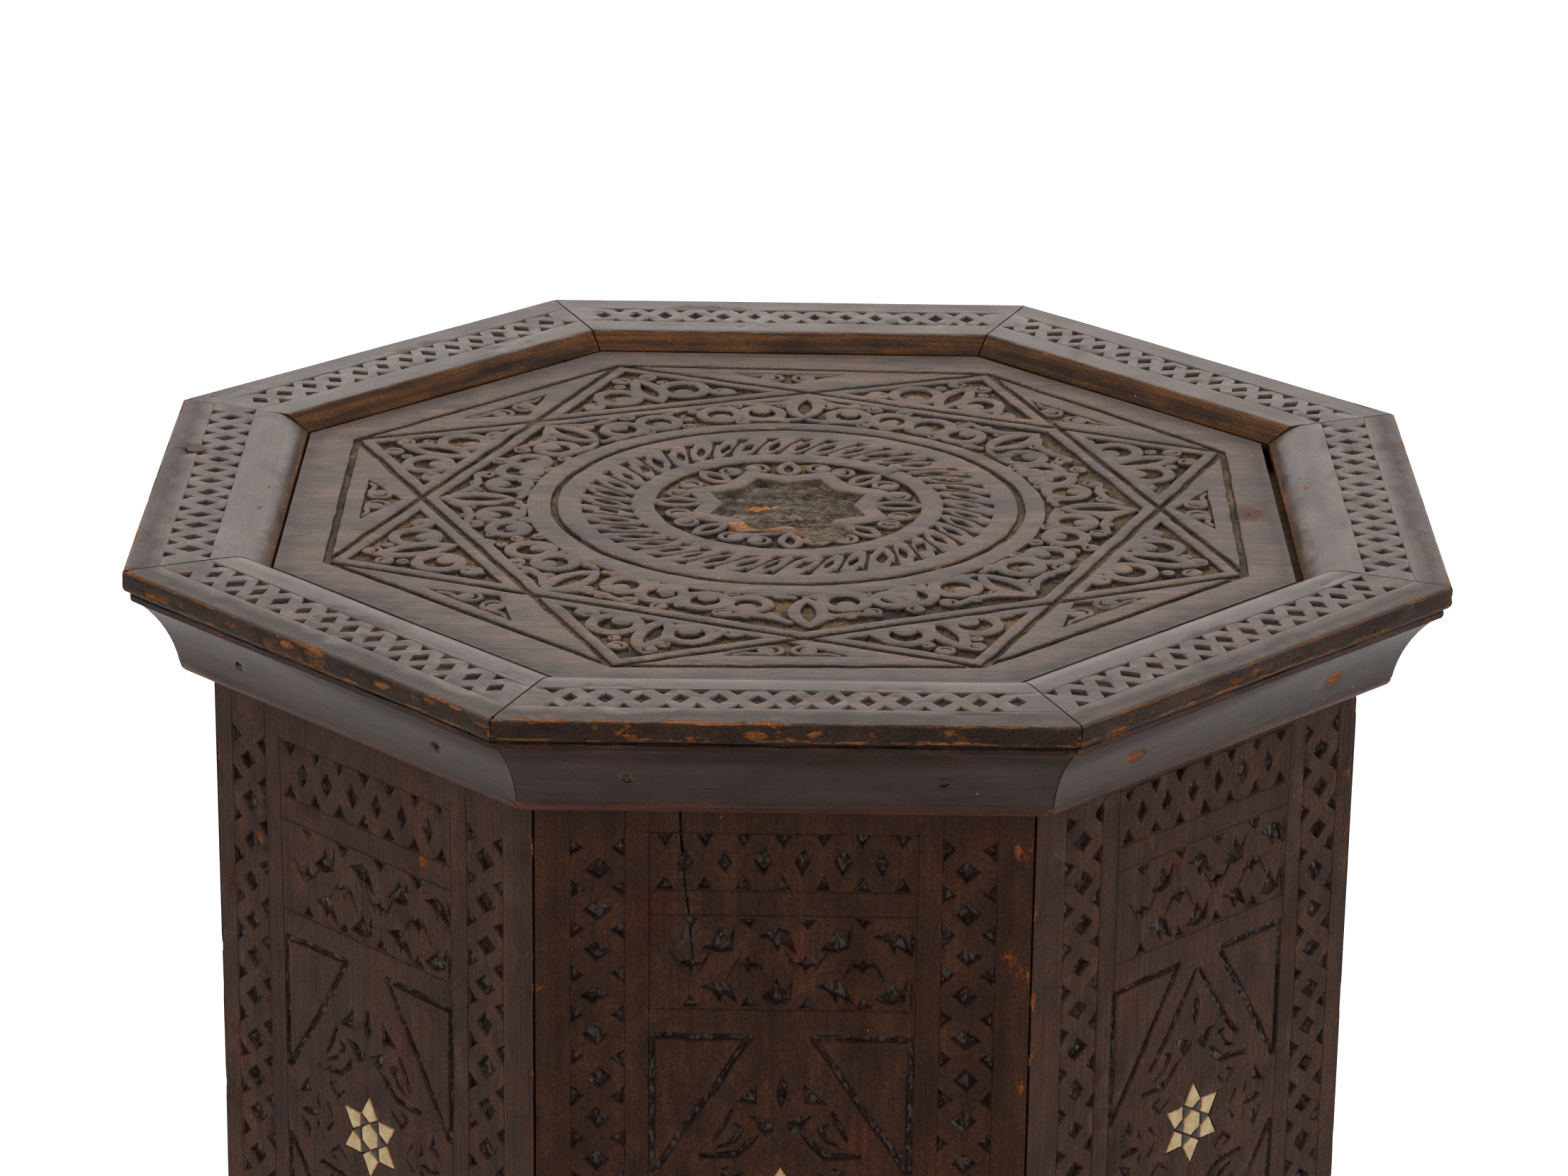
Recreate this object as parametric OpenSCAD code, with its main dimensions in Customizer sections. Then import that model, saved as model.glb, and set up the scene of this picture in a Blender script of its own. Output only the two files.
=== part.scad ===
// Eight-sided carved occasional table: a mitred rim round a sunk board, a coved
// cornice, eight side panels cut to pointed arches, and bone stars let into them.
// Millimetres, +Z up, origin on the floor under the middle of the table.
// Face 1 looks along -Y, and the faces are numbered anticlockwise from above.

/* [Overall] */
// Height from the floor to the top of the rim
table_h = 490; // [470:1:530]
// Width of the rim across opposite flats
top_w = 428.7; // [422:0.1:436]
// Width of the carcase across opposite flats
case_w = 373.4; // [368:0.1:378]

/* [Rim] */
// Thickness of the rim boards
rim_t = 8; // [7:0.5:10]
// Width of the flat face of the rim
rim_face_w = 39; // [35:0.5:41]
// Width of the sloping inner edge of the rim
bevel_w = 7; // [5:0.5:8]
// Drop from the face of the rim to the board
bevel_drop = 5.4; // [4:0.1:6]
// Radius worn on the outer top edge of the rim
arris_r = 1.6; // [1:0.1:2.5]
// Radius of the outer bottom edge of the rim
under_r = 2.4; // [1.5:0.1:3]

/* [Top board] */
// Thickness of the board
board_t = 12; // [9:0.5:15]
// Gap left for the board to swell and shrink
board_gap = 1; // [0.5:0.1:2]
// Distance of the star tips from the middle of the board
star_tip_r = 163; // [158:0.5:168]
// Radius of the round groove
ring_r = 79; // [60:1:90]
// Width of the carved grooves
groove_w = 2; // [1.5:0.1:3]
// Depth of the carved grooves and fields
groove_d = 1.6; // [1:0.1:2.5]
// Width left standing between the middle of a groove and a carved field
strap_w = 5; // [4:0.1:6]
// Outer radius of the scrolls between the ring and the star
scroll_r = 8.5; // [7.7:0.1:9]
// Width of the band that a scroll is made of
scroll_w = 4.2; // [2.5:0.1:4.5]
// Loops in the plaited band
plait_n = 42; // [36:1:44]
// Distance of the tips of the middle hollow from its middle
hollow_r = 28; // [15:1:35]
// Distance of the hollow's notches from its middle, as a share of that of its tips
hollow_notch = 0.8; // [0.6:0.01:0.9]

/* [Cornice] */
// Height of the cornice
cornice_h = 30; // [26:1:34]
// Height of the fillet along the top of the cornice
fillet_h = 2.8; // [2:0.1:4]
// Distance of the fillet behind the edge of the rim
fillet_in = 2.3; // [1:0.1:4]
// Step from the fillet back to the cove
quirk = 1.4; // [1:0.1:2]
// Radius of the cove
cove_r = 39.5; // [30:0.5:60]
// Radius of the bead along the bottom of the cornice
bead_r = 4.5; // [3:0.5:5]
// Distance of the bead in front of the side panels
bead_out = 10.7; // [9:0.1:12]

/* [Sides] */
// Thickness of the side panels
side_t = 12; // [10:0.5:15]
// Half the width of the arch between the feet
jamb = 44; // [38:1:46]
// Height of the straight sides of the arch
spring_h = 92; // [70:1:100]
// Step at the top of the straight sides
corbel = 4; // [2:0.5:6]
// Radius of each side of the pointed arch
arch_r = 64; // [60:1:70]
// Height of the small point on top of the arch
nib_h = 12; // [8:1:14]
// Half the width of the small point where it leaves the arch
nib_w = 5; // [3:0.5:7]

/* [Stars] */
// Distance from the top of the rim down to the middle of a star
star_drop = 176; // [165:1:185]
// Distance of the star tips from the middle
star_r = 14.8; // [12:0.1:17]
// Thickness of the inlaid pieces
inlay_t = 2.5; // [1.5:0.1:4]
// Share of each inlaid piece left after its glue line
inlay_fit = 0.965; // [0.94:0.005:0.98]
// Half the width of the field round a star
field_w = 41.5; // [38:0.5:43]
// Half the height of the field round a star
field_h = 60; // [50:1:62]
// Half the gap between the upper and lower corner triangles
field_waist = 9; // [6:0.5:12]
// Distance from the middle line to the corner triangles
field_gap = 11.5; // [8:0.5:14]
// Distance of the upright borders from the middle line
border_u = 57.5; // [56:0.5:60]
// Distance between the diamonds of the borders
border_pitch = 14.2; // [13:0.1:16]
// Distance of the friezes above and below the star
frieze_z = 84; // [82:0.5:88]
// Distance between the leaves of the friezes
frieze_pitch = 18; // [17:0.5:19]
// Distance of the bands of diamonds above and below the star
lattice_z = 118.5; // [116:0.5:120]

/* [Inside] */
// Width of the ledger strips that carry the board
ledger_w = 22; // [15:1:30]
// Height of the ledger strips
ledger_h = 16; // [12:1:20]
// Width of each glued face of a corner block
block_w = 20; // [14:1:24]
// Thickness of a corner block behind the corner
block_t = 15; // [12:0.5:17]
// Width of a corner block's back, as a share of its full width
block_back = 0.6; // [0.4:0.05:0.8]
// Height of the corner blocks above the floor
block_z = 30; // [20:1:60]

/* [Fastenings] */
// Distance of the cornice nails from the middle of a length
nail_u = 48; // [30:1:60]
// Diameter of the cornice nails
nail_d = 2.4; // [2:0.1:3]
// Length of the cornice nails
nail_len = 21; // [18:1:22]
// Distance of the cornice nails below the top of the rim
nail_drop = 25; // [22:0.5:28]
// Depth of the nail heads below the face of the cove
nail_set = 1.2; // [0.8:0.1:2]
// Length of the punched hole left open in front of a nail's head
nail_open = 3.6; // [3:0.1:5]
// Distance of the rim pegs from the middle of a board
peg_u = 33.5; // [25:0.5:50]
// Distance of the rim pegs behind the top of the cove
peg_in = 7; // [6:0.5:9]
// Diameter of the rim pegs
peg_d = 6; // [4:0.5:7]
// Depth that the rim pegs reach below the top of the rim
peg_reach = 13.5; // [12:0.5:14]
// Wood left over the hidden rim pegs
peg_cover = 3; // [2:0.5:4]

/* [Hidden] */
FACES = [1 : 8];
$fn = 64;

// Half angle of one of the eight faces
half = 22.5;
// Oversize of cutting shapes
over = 1;

rim_a = top_w / 2;
crest_a = rim_a - rim_face_w;
foot_a = crest_a - bevel_w;
board_a = foot_a - board_gap;
case_a = case_w / 2;
inside_a = case_a - side_t;
side_h = table_h - rim_t;
ledger_top = table_h - bevel_drop - board_t;

// Ends of the cove in section, as distance from the middle and height under the rim
cove_top = [rim_a - fillet_in - quirk, -fillet_h];
cove_foot = [case_a + bead_out, bead_r - cornice_h];
cove_chord = cove_foot - cove_top;
cove_rise = sqrt(pow(cove_r, 2) - pow(norm(cove_chord) / 2, 2));
cove_out = [-cove_chord[1], cove_chord[0]] / norm(cove_chord);
cove_mid = (cove_top + cove_foot) / 2 + cove_rise * cove_out;

star_z = table_h - star_drop;
// Sideways and upward error of each face's pattern
slip = [[0, 0], [3, 4], [1, -2], [-1, 1], [0, 2], [2, -1], [-1, 0], [-3, -5]];
// Error of the tips of the star on the board, in degrees
tip_slip = [-0.7, -4.1, 0, 0, 0, 3.1, -0.4, -0.9];
// Height of the cornice nails under the rim, and distance of their heads from the middle
nail_z = rim_t - nail_drop;
nail_a = cove_mid[0] - sqrt(pow(cove_r, 2) - pow(nail_z - cove_mid[1], 2)) - nail_set;
peg_a = cove_top[0] - peg_in;
// The one rim peg that is plugged at the surface: its face, and its side of the middle
open_peg = [7, -1];

// Pointed arch: each side is struck from beyond the middle line
arch_foot = spring_h + corbel;
arch_off = arch_r - (jamb - corbel);
arch_top = arch_foot + sqrt(pow(arch_r, 2) - pow(arch_off, 2));
// Height of the arch where the small point is as wide as the opening
nib_z = arch_foot + sqrt(pow(arch_r, 2) - pow(arch_off + nib_w, 2));

// Point at a distance and an angle from the middle
function polar(r, a) = r * [cos(a), sin(a)];

// Middle of the circle that touches all three sides of a triangle
function sides(t) = [norm(t[1] - t[2]), norm(t[2] - t[0]), norm(t[0] - t[1])];
function around(t) = sides(t) * [1, 1, 1];
function heart(t) = (sides(t) * t) / around(t);
function area2(t) = abs(cross(t[1] - t[0], t[2] - t[0]));
function heart_r(t) = area2(t) / around(t);

// Triangle drawn in by w on each side
function drawn_in(t, w) = [for (p = t) heart(t) + (p - heart(t)) * (1 - w / heart_r(t))];

// Piece shrunk about its own middle, which leaves the glue line round it
function middle(p) = [for (k = [0, 1]) [for (q = p) q[k]] * [for (q = p) 1] / len(p)];
function fitted(p) = [for (q = p) middle(p) + (q - middle(p)) * inlay_fit];

// Turns a shape drawn on face 1 to face i, where +X is the way out of the face
module on_face(i) {
    rotate([0, 0, 45 * (i - 1) - 90]) children();
}

// Eighth of the plan, which cuts the ends of a length to the mitre
module mitre_wedge(z0, z1) {
    reach = 1.1 * rim_a;
    translate([0, 0, z0]) linear_extrude(z1 - z0)
        polygon([[0, 0], [reach, -reach * tan(half)], [reach, reach * tan(half)]]);
}

// Length of section along a face, mitred at both ends; z0 and z1 bound it
module mitred_length(z0, z1) {
    intersection() {
        rotate([90, 0, 0]) linear_extrude(2 * rim_a, center = true) children();
        mitre_wedge(z0, z1);
    }
}

// What a rounded edge of radius r takes off a square corner
module edge_waste(r) {
    difference() {
        square(r + over);
        circle(r);
    }
}

// Lays a shape drawn in the upright plane of a face into its outer surface
module in_face(depth) {
    translate([case_a - depth, 0, 0]) rotate([90, 0, 90]) linear_extrude(depth + over) children();
}

module octagon(a) {
    polygon([for (k = [0 : 7]) polar(a / cos(half), 45 * k + half)]);
}

/* Top */

module rim_section() {
    difference() {
        polygon([[foot_a, -rim_t], [rim_a, -rim_t], [rim_a, 0], [crest_a, 0], [foot_a, -bevel_drop]]);
        translate([rim_a - arris_r, -arris_r]) edge_waste(arris_r);
        translate([rim_a - under_r, under_r - rim_t]) mirror([0, 1]) edge_waste(under_r);
    }
}

// Peg, or the hole for it, in side s of face i; only the open one reaches the surface
module rim_peg(i, s) {
    open = open_peg == [i, s];
    top = open ? 0 : -peg_cover;
    on_face(i) translate([peg_a, s * peg_u, table_h - peg_reach])
        cylinder(h = peg_reach + top, d = peg_d);
}

module rim_board(i) {
    color("#6e6058") difference() {
        on_face(i) translate([0, 0, table_h]) mitred_length(-rim_t, 0) rim_section();
        for (s = [-1, 1]) rim_peg(i, s);
    }
}

module rim_pegs() {
    color("#8a6a50") for (i = FACES, s = [-1, 1]) rim_peg(i, s);
}

function tip(k) = polar(star_tip_r, 45 * k + half + tip_slip[(k + 8) % 8]);

// Where the line from p to q meets the line from r to s
function meet(p, q, r, s) = p + (q - p) * cross(r - p, s - r) / cross(q - p, s - r);

// Crossing of the two squares between tips k and k + 1
function crossing(k) = meet(tip(k - 1), tip(k + 1), tip(k), tip(k + 2));

// Straight grooves that run from each star tip to the tip that lies step tips on
module tip_grooves(step) {
    for (k = [0 : 7]) {
        run = tip(k + step) - tip(k);
        translate(tip(k)) rotate([0, 0, atan2(run[1], run[0])])
            translate([0, -groove_w / 2]) square([norm(run), groove_w]);
    }
}

module diamond(w, h) {
    polygon([[-w, 0], [0, -h], [w, 0], [0, h]]);
}

// Pointed leaf of length 2 h and width 2 w, upright
module leaf(w, h) {
    r = (h * h + w * w) / (2 * w);
    intersection() {
        translate([w - r, 0]) circle(r);
        translate([r - w, 0]) circle(r);
    }
}

// Leaf with its own cut, from r0 to r1 along the way out
module standing_leaf(r0, r1, w) {
    translate([0, (r0 + r1) / 2]) difference() {
        leaf(w, (r1 - r0) / 2);
        leaf(0.4 * w, 0.36 * (r1 - r0));
    }
}

module scroll(r) {
    difference() {
        circle(r, $fn = 32);
        circle(r - scroll_w, $fn = 32);
    }
}

// Children turned so that their way up points outward at an angle
module outward(angle) {
    rotate([0, 0, angle - 90]) children();
}

// Ground of the scrolls between the ring and the squares, with a leaf at each crossing
module scroll_field() {
    inner = star_tip_r * cos(2 * half);
    middle = ring_r + 18.2;
    spread = 9;
    difference() {
        polygon([for (k = [0 : 7]) crossing(k) * (1 - strap_w / inner)]);
        circle(ring_r + 1.6 * strap_w);
        for (k = [0 : 7]) outward(45 * k) {
            standing_leaf(ring_r + 12.5, inner + 2.8, 6.2);
            for (n = [-2, -1, 1, 2]) rotate([0, 0, n * spread]) translate([0, middle]) scroll(scroll_r);
        }
    }
}

// Grounds of the star's points, each with a leaf between two scrolls
module point_fields() {
    scroll_x = 12.6;
    scroll_in = 34.7;
    for (k = [0 : 7]) difference() {
        polygon(drawn_in([tip(k), crossing(k - 1), crossing(k)], strap_w));
        outward(45 * k + half + tip_slip[k]) {
            standing_leaf(star_tip_r - 44, star_tip_r - 17, 5.7);
            for (s = [-1, 1]) translate([s * scroll_x, star_tip_r - scroll_in]) scroll(scroll_r + 0.7);
        }
    }
}

// Low triangles between the star's points, each with two buds
module edge_fields() {
    base = star_tip_r * cos(half) - 7.2;
    for (k = [0 : 7]) outward(45 * k) difference() {
        polygon([[-20.5, base], [0, base - 13], [20.5, base]]);
        for (s = [-1, 1]) translate([5.6 * s, base - 5.2]) circle(4.2, $fn = 24);
    }
}

// Ring of leaves and buds round the star-shaped strap of the hollow
module rosette() {
    notch = hollow_r + 1;
    tip = hollow_r + 8.8;
    bud_mid = hollow_r + 10.6;
    difference() {
        circle(hollow_r + 17.3);
        polygon([for (k = [0 : 15]) polar(k % 2 == 1 ? tip : notch, half * k)]);
        for (k = [0 : 7]) outward(45 * k) {
            standing_leaf(notch - 2, hollow_r + 16.5, 4.2);
            for (s = [-1, 1]) rotate([0, 0, 15 * s]) translate([0, bud_mid]) circle(4.3, $fn = 24);
        }
    }
}

// Leaning pockets of the plaited band
module plait() {
    mid = ring_r - 18.2;
    lean = -122;
    for (k = [1 : plait_n]) rotate([0, 0, 360 / plait_n * k]) translate([mid, 0])
        rotate([0, 0, lean]) diamond(2.1, 4.9);
}

module board_hollow() {
    polygon([for (k = [0 : 15]) polar(k % 2 == 1 ? hollow_r : hollow_r * hollow_notch, half * k)]);
}

module top_board() {
    top = table_h - bevel_drop;
    color("#62554f") difference() {
        translate([0, 0, ledger_top]) linear_extrude(board_t) octagon(board_a);
        translate([0, 0, top - groove_d]) linear_extrude(groove_d + over) {
            tip_grooves(1);
            tip_grooves(2);
            board_hollow();
            scroll_field();
            point_fields();
            edge_fields();
            rosette();
            plait();
        }
        translate([0, 0, top - groove_d]) difference() {
            cylinder(h = groove_d + over, r = ring_r + groove_w / 2);
            cylinder(h = groove_d + over, r = ring_r - groove_w / 2);
        }
    }
}

/* Cornice */

module cornice_section() {
    front = rim_a - fillet_in;
    difference() {
        polygon([
            [case_a, 0], [front, 0], [front, -fillet_h], cove_top,
            cove_foot, [cove_foot[0], -cornice_h], [case_a, -cornice_h]
        ]);
        intersection() {
            translate(cove_mid) circle(cove_r, $fn = 96);
            translate(cove_foot) square([front, cornice_h]);
        }
        translate([cove_foot[0] - bead_r, cove_foot[1]]) mirror([0, 1]) edge_waste(bead_r);
    }
}

// Nail, or the hole for it, in side s of face i; the hole is open in front of the head
module cornice_nail(i, s, open) {
    on_face(i) translate([nail_a - nail_len, s * nail_u, side_h + nail_z]) rotate([0, 90, 0])
        cylinder(h = nail_len + open, d = nail_d);
}

module cornice(i) {
    color("#55443d") difference() {
        on_face(i) translate([0, 0, side_h]) mitred_length(-cornice_h, 0) cornice_section();
        for (s = [-1, 1]) {
            rim_peg(i, s);
            cornice_nail(i, s, nail_open);
        }
    }
}

module cornice_nails() {
    color("#3a3633") for (i = FACES, s = [-1, 1]) cornice_nail(i, s, 0);
}

/* Sides */

// Opening between two feet
module arch() {
    translate([-jamb, -over]) square([2 * jamb, spring_h + over]);
    translate([corbel - jamb, -over]) square([2 * (jamb - corbel), arch_foot + over]);
    intersection() {
        translate([-arch_off, arch_foot]) circle(arch_r, $fn = 96);
        translate([arch_off, arch_foot]) circle(arch_r, $fn = 96);
        translate([-jamb, spring_h]) square([2 * jamb, arch_r]);
    }
    polygon([[-nib_w, nib_z - over], [0, arch_top + nib_h], [nib_w, nib_z - over]]);
}

// One corner triangle of the field round a star, on side s and above (v = 1) or below
function field_corner(s, v) = [
    [s * field_w, v * field_h], [s * field_gap, v * field_h], [s * field_w, v * field_waist]
];

module field_grooves() {
    for (s = [-1, 1], v = [-1, 1]) difference() {
        polygon(field_corner(s, v));
        polygon(drawn_in(field_corner(s, v), groove_w));
    }
}

// Upright border of diamonds on each side of the face, down to the feet
module borders() {
    top = lattice_z - 2.5;
    foot = 2 * border_pitch - star_z;
    for (s = [-1, 1], z = [top : -border_pitch : foot]) translate([s * border_u, z]) diamond(4, 3.7);
}

module band_of_diamonds() {
    pitch = 12.2;
    for (k = [-2 : 3]) translate([pitch * (k - 0.5), lattice_z]) diamond(2.5, 4.5);
}

// Four-pointed cuts, with cups and bows by turns above and below them
module frieze() {
    row = 8.5;
    cup = [[-5.5, -3.5], [-1.8, 0.6], [0, 4.4], [1.7, 0.8], [3, -0.2], [5, 5.5], [4.4, -3.2], [0, -4.6]];
    bow = [[-6, 1.2], [0, 3.6], [3.4, 2], [6.4, -5.6], [1.4, -2.2], [0.6, -4.8], [-2, -0.4]];
    reach = [4.8, 1.4, 3, 1.4];
    for (k = [-1 : 2]) translate([(k - 0.6) * frieze_pitch, frieze_z])
        polygon([for (n = [0 : 7]) polar(reach[n % 4], 45 * n)]);
    for (k = [-1 : 1], w = [-1, 1]) translate([(k - 0.1) * frieze_pitch, frieze_z + w * row])
        polygon((k % 2 == 0) == (w > 0) ? bow : cup);
}

// Bands above the star, and the same turned over below it
module bands() {
    for (v = [0, 1]) mirror([0, v]) {
        band_of_diamonds();
        frieze();
    }
}

// Leaves and scrolls inside the field round a star
module field_leaves() {
    for (s = [-1, 1]) {
        translate([0, 40.5 * s]) leaf(1.8, 6);
        translate([30 * s, 0]) rotate([0, 0, 90]) leaf(1.7, 5);
        for (v = [-1, 1]) scale([s, v]) {
            polygon([[7, 44], [7.2, 36], [14.5, 36]]);
            polygon([[14.6, 34], [16.6, 33.8], [21.4, 23.2], [18, 27]]);
            polygon([[10.5, 32.5], [6, 32], [1.4, 29.5], [2, 27], [5, 25], [6.5, 27], [8, 30]]);
            polygon([[26, 18.6], [14, 20], [10, 24], [5, 26], [9, 21], [14, 17], [25.5, 16.6]]);
            polygon([[31, 12], [36, 3.5], [29, 6]]);
        }
    }
}

// Outline of the six-pointed star
module star_outline() {
    polygon([for (k = [0 : 11]) polar(k % 2 == 0 ? star_r : star_r / sqrt(3), 90 + 30 * k)]);
}

module side_panel(i) {
    color("#43322c") difference() {
        on_face(i) intersection() {
            translate([inside_a, -rim_a, 0]) cube([side_t, 2 * rim_a, side_h]);
            mitre_wedge(0, side_h);
        }
        on_face(i) translate([inside_a - over, 0, 0]) rotate([90, 0, 90])
            linear_extrude(side_t + 2 * over) arch();
        on_face(i) in_face(groove_d) translate([0, star_z] + slip[i - 1]) {
            field_grooves();
            field_leaves();
            bands();
            borders();
        }
        on_face(i) in_face(inlay_t) translate([0, star_z] + slip[i - 1]) star_outline();
        for (s = [-1, 1]) cornice_nail(i, s, 0);
    }
}

/* Inlay */

// Corners of the six-pointed star: its tips, the notches between them, and the hexagon
function star_tip(k) = polar(star_r, 90 + 60 * k);
function star_notch(k) = polar(star_r / sqrt(3), 120 + 60 * k);
function star_core(k) = polar(star_r / 3, 90 + 60 * k);

// Lays the pieces of a star into face i
module inlaid(i) {
    on_face(i) translate([case_a - inlay_t, 0, star_z]) rotate([90, 0, 90])
        linear_extrude(inlay_t) translate(slip[i - 1]) children();
}

module star_bone(i) {
    color("#d8bf86") inlaid(i) {
        polygon(fitted([for (k = [0 : 5]) star_core(k)]));
        for (k = [0 : 5]) polygon(fitted([star_tip(k), star_notch(k), star_core(k), star_notch(k - 1)]));
    }
}

module star_black(i) {
    color("#2c2725") inlaid(i) for (k = [0 : 5])
        polygon(fitted([star_core(k), star_notch(k), star_core(k + 1)]));
}

/* Inside */

// Strip glued inside face i, flush with the underside of the board
module ledger(i) {
    color("#7a5c46") on_face(i) intersection() {
        translate([inside_a - ledger_w, -rim_a, ledger_top - ledger_h])
            cube([ledger_w, 2 * rim_a, ledger_h]);
        mitre_wedge(ledger_top - ledger_h, ledger_top);
    }
}

// Block glued upright behind the corner between face i and the next
module corner_block(i) {
    corner = inside_a / cos(half);
    back = corner - block_t;
    wing = block_w * [-sin(half), cos(half)];
    color("#7a5c46") on_face(i + 0.5) translate([0, 0, block_z])
        linear_extrude(ledger_top - ledger_h - block_z) polygon([
            [corner, 0], [corner + wing[0], wing[1]], [back, wing[1] * block_back],
            [back, -wing[1] * block_back], [corner + wing[0], -wing[1]]
        ]);
}

top_board();
rim_pegs();
cornice_nails();
for (i = FACES) {
    rim_board(i);
    cornice(i);
    side_panel(i);
    corner_block(i);
    ledger(i);
    star_bone(i);
    star_black(i);
}
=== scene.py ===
"""Dresses the eight-sided carved table: each board is carved, worn and varnished as a piece of its own."""

import logging
import math
from dataclasses import dataclass, field
from enum import Enum, IntEnum
from typing import Callable, Optional, Sequence

import bmesh
import bpy
import numpy as np
from mathutils import Matrix, Vector
from mathutils.geometry import delaunay_2d_cdt


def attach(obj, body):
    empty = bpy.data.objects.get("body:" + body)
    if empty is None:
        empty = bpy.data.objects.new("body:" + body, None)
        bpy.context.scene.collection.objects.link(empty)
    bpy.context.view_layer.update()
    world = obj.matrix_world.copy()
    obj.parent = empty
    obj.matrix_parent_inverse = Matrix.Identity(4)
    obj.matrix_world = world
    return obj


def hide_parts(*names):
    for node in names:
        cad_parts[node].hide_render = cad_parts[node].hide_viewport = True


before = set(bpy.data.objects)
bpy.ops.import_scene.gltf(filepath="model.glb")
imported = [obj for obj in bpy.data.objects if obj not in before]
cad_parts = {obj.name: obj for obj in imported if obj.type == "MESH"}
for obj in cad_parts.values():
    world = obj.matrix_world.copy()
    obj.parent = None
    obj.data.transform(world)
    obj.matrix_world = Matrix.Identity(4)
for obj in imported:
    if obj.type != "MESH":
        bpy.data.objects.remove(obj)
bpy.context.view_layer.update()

log = logging.getLogger("table")
MM = 0.001
HALF = math.radians(22.5)
FACES = range(1, 9)
FAR_FACES = (4, 5, 6)
UNCUT = -9.0  # distance to the outline, kept where nothing is cut
BESIDE = 1.2  # how far beside its outline a cut still sets the depth
Array = np.ndarray
Point = tuple[float, float]
Box = tuple[float, float, float, float]


# ------------ flat shapes


@dataclass(frozen=True)
class Shape:
    """Flat outline as a distance that is positive inside, with the box that holds it, in mm."""

    box: Box
    inside: Callable[[Array, Array], Array]

    def __sub__(self, other: "Shape") -> "Shape":
        """This shape with another cut out of it."""
        return Shape(self.box, lambda x, y: np.minimum(self.inside(x, y), -other.inside(x, y)))

    def __add__(self, other: "Shape") -> "Shape":
        """Two shapes as one.

        Args:
            other: the second shape.

        Returns:
            The joined shape.
        """
        a, b = self.box, other.box
        box = (min(a[0], b[0]), min(a[1], b[1]), max(a[2], b[2]), max(a[3], b[3]))
        return Shape(box, lambda x, y: np.maximum(self.inside(x, y), other.inside(x, y)))

    def placed(self, at: Point = (0, 0), turn: float = 0, flip: bool = False, size: float = 1) -> "Shape":
        """The shape moved to its place.

        Args:
            at: where its own middle goes.
            turn: anticlockwise turn in degrees, made after the flip.
            flip: whether left and right change places first.
            size: how many times as large it becomes.

        Returns:
            The shape in its place.
        """
        c, s = math.cos(math.radians(turn)), math.sin(math.radians(turn))
        m = -1 if flip else 1
        x0, y0, x1, y1 = self.box
        corners = [(m * x * size, y * size) for x in (x0, x1) for y in (y0, y1)]
        turned = np.array([(c * x - s * y + at[0], s * x + c * y + at[1]) for x, y in corners])

        def inside(x: Array, y: Array) -> Array:
            """Distance at points given in the new place."""
            dx, dy = x - at[0], y - at[1]
            return size * self.inside(m * (c * dx + s * dy) / size, (c * dy - s * dx) / size)

        return Shape((*turned.min(0), *turned.max(0)), inside)

    def shrunk(self, by: float) -> "Shape":
        """The shape with its edge drawn in all round."""
        return Shape(self.box, lambda x, y: self.inside(x, y) - by)


def polygon(points: Sequence[Point]) -> Shape:
    """Straight-sided shape through the given corners.

    Args:
        points: corners in order, in mm.

    Returns:
        The shape.
    """
    p = np.array(points, float)
    q = np.roll(p, -1, 0)

    def inside(x: Array, y: Array) -> Array:
        """Distance to the nearest side.

        Args:
            x: places across, in mm.
            y: places up, in mm.

        Returns:
            Distance in mm, positive inside.
        """
        best = np.full(x.shape, 1e9)
        odd = np.zeros(x.shape, bool)
        for (ax, ay), (bx, by) in zip(p, q):
            ex, ey, wx, wy = bx - ax, by - ay, x - ax, y - ay
            t = np.clip((wx * ex + wy * ey) / (ex * ex + ey * ey), 0, 1)
            best = np.minimum(best, (wx - t * ex) ** 2 + (wy - t * ey) ** 2)
            if ay != by:
                odd ^= ((ay <= y) != (by <= y)) & (x < ax + wy * ex / ey)
        return np.where(odd, 1, -1) * np.sqrt(best)

    return Shape((*p.min(0), *p.max(0)), inside)


def disc(x0: float, y0: float, r: float) -> Shape:
    """Round shape."""
    return Shape((x0 - r, y0 - r, x0 + r, y0 + r), lambda x, y: r - np.hypot(x - x0, y - y0))


def ribbon(points: Sequence[Point], widths: Sequence[float]) -> Shape:
    """Band along a line of points, whose width changes evenly between the given widths.

    Args:
        points: the middle line.
        widths: full widths, spread evenly over the points.

    Returns:
        The band, round at both ends.
    """
    p = np.array(points, float)
    w = np.interp(np.linspace(0, 1, len(p)), np.linspace(0, 1, len(widths)), widths) / 2
    pad = w.max()

    def inside(x: Array, y: Array) -> Array:
        """Distance to the edge of the widest overlap.

        Args:
            x: places across, in mm.
            y: places up, in mm.

        Returns:
            Distance in mm, positive inside.
        """
        best = np.full(x.shape, -1e9)
        for (ax, ay), (bx, by), wa, wb in zip(p[:-1], p[1:], w[:-1], w[1:]):
            ex, ey = bx - ax, by - ay
            t = np.clip(((x - ax) * ex + (y - ay) * ey) / (ex * ex + ey * ey), 0, 1)
            best = np.maximum(best, wa + t * (wb - wa) - np.hypot(x - ax - t * ex, y - ay - t * ey))
        return best

    return Shape((*(p.min(0) - pad), *(p.max(0) + pad)), inside)


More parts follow.
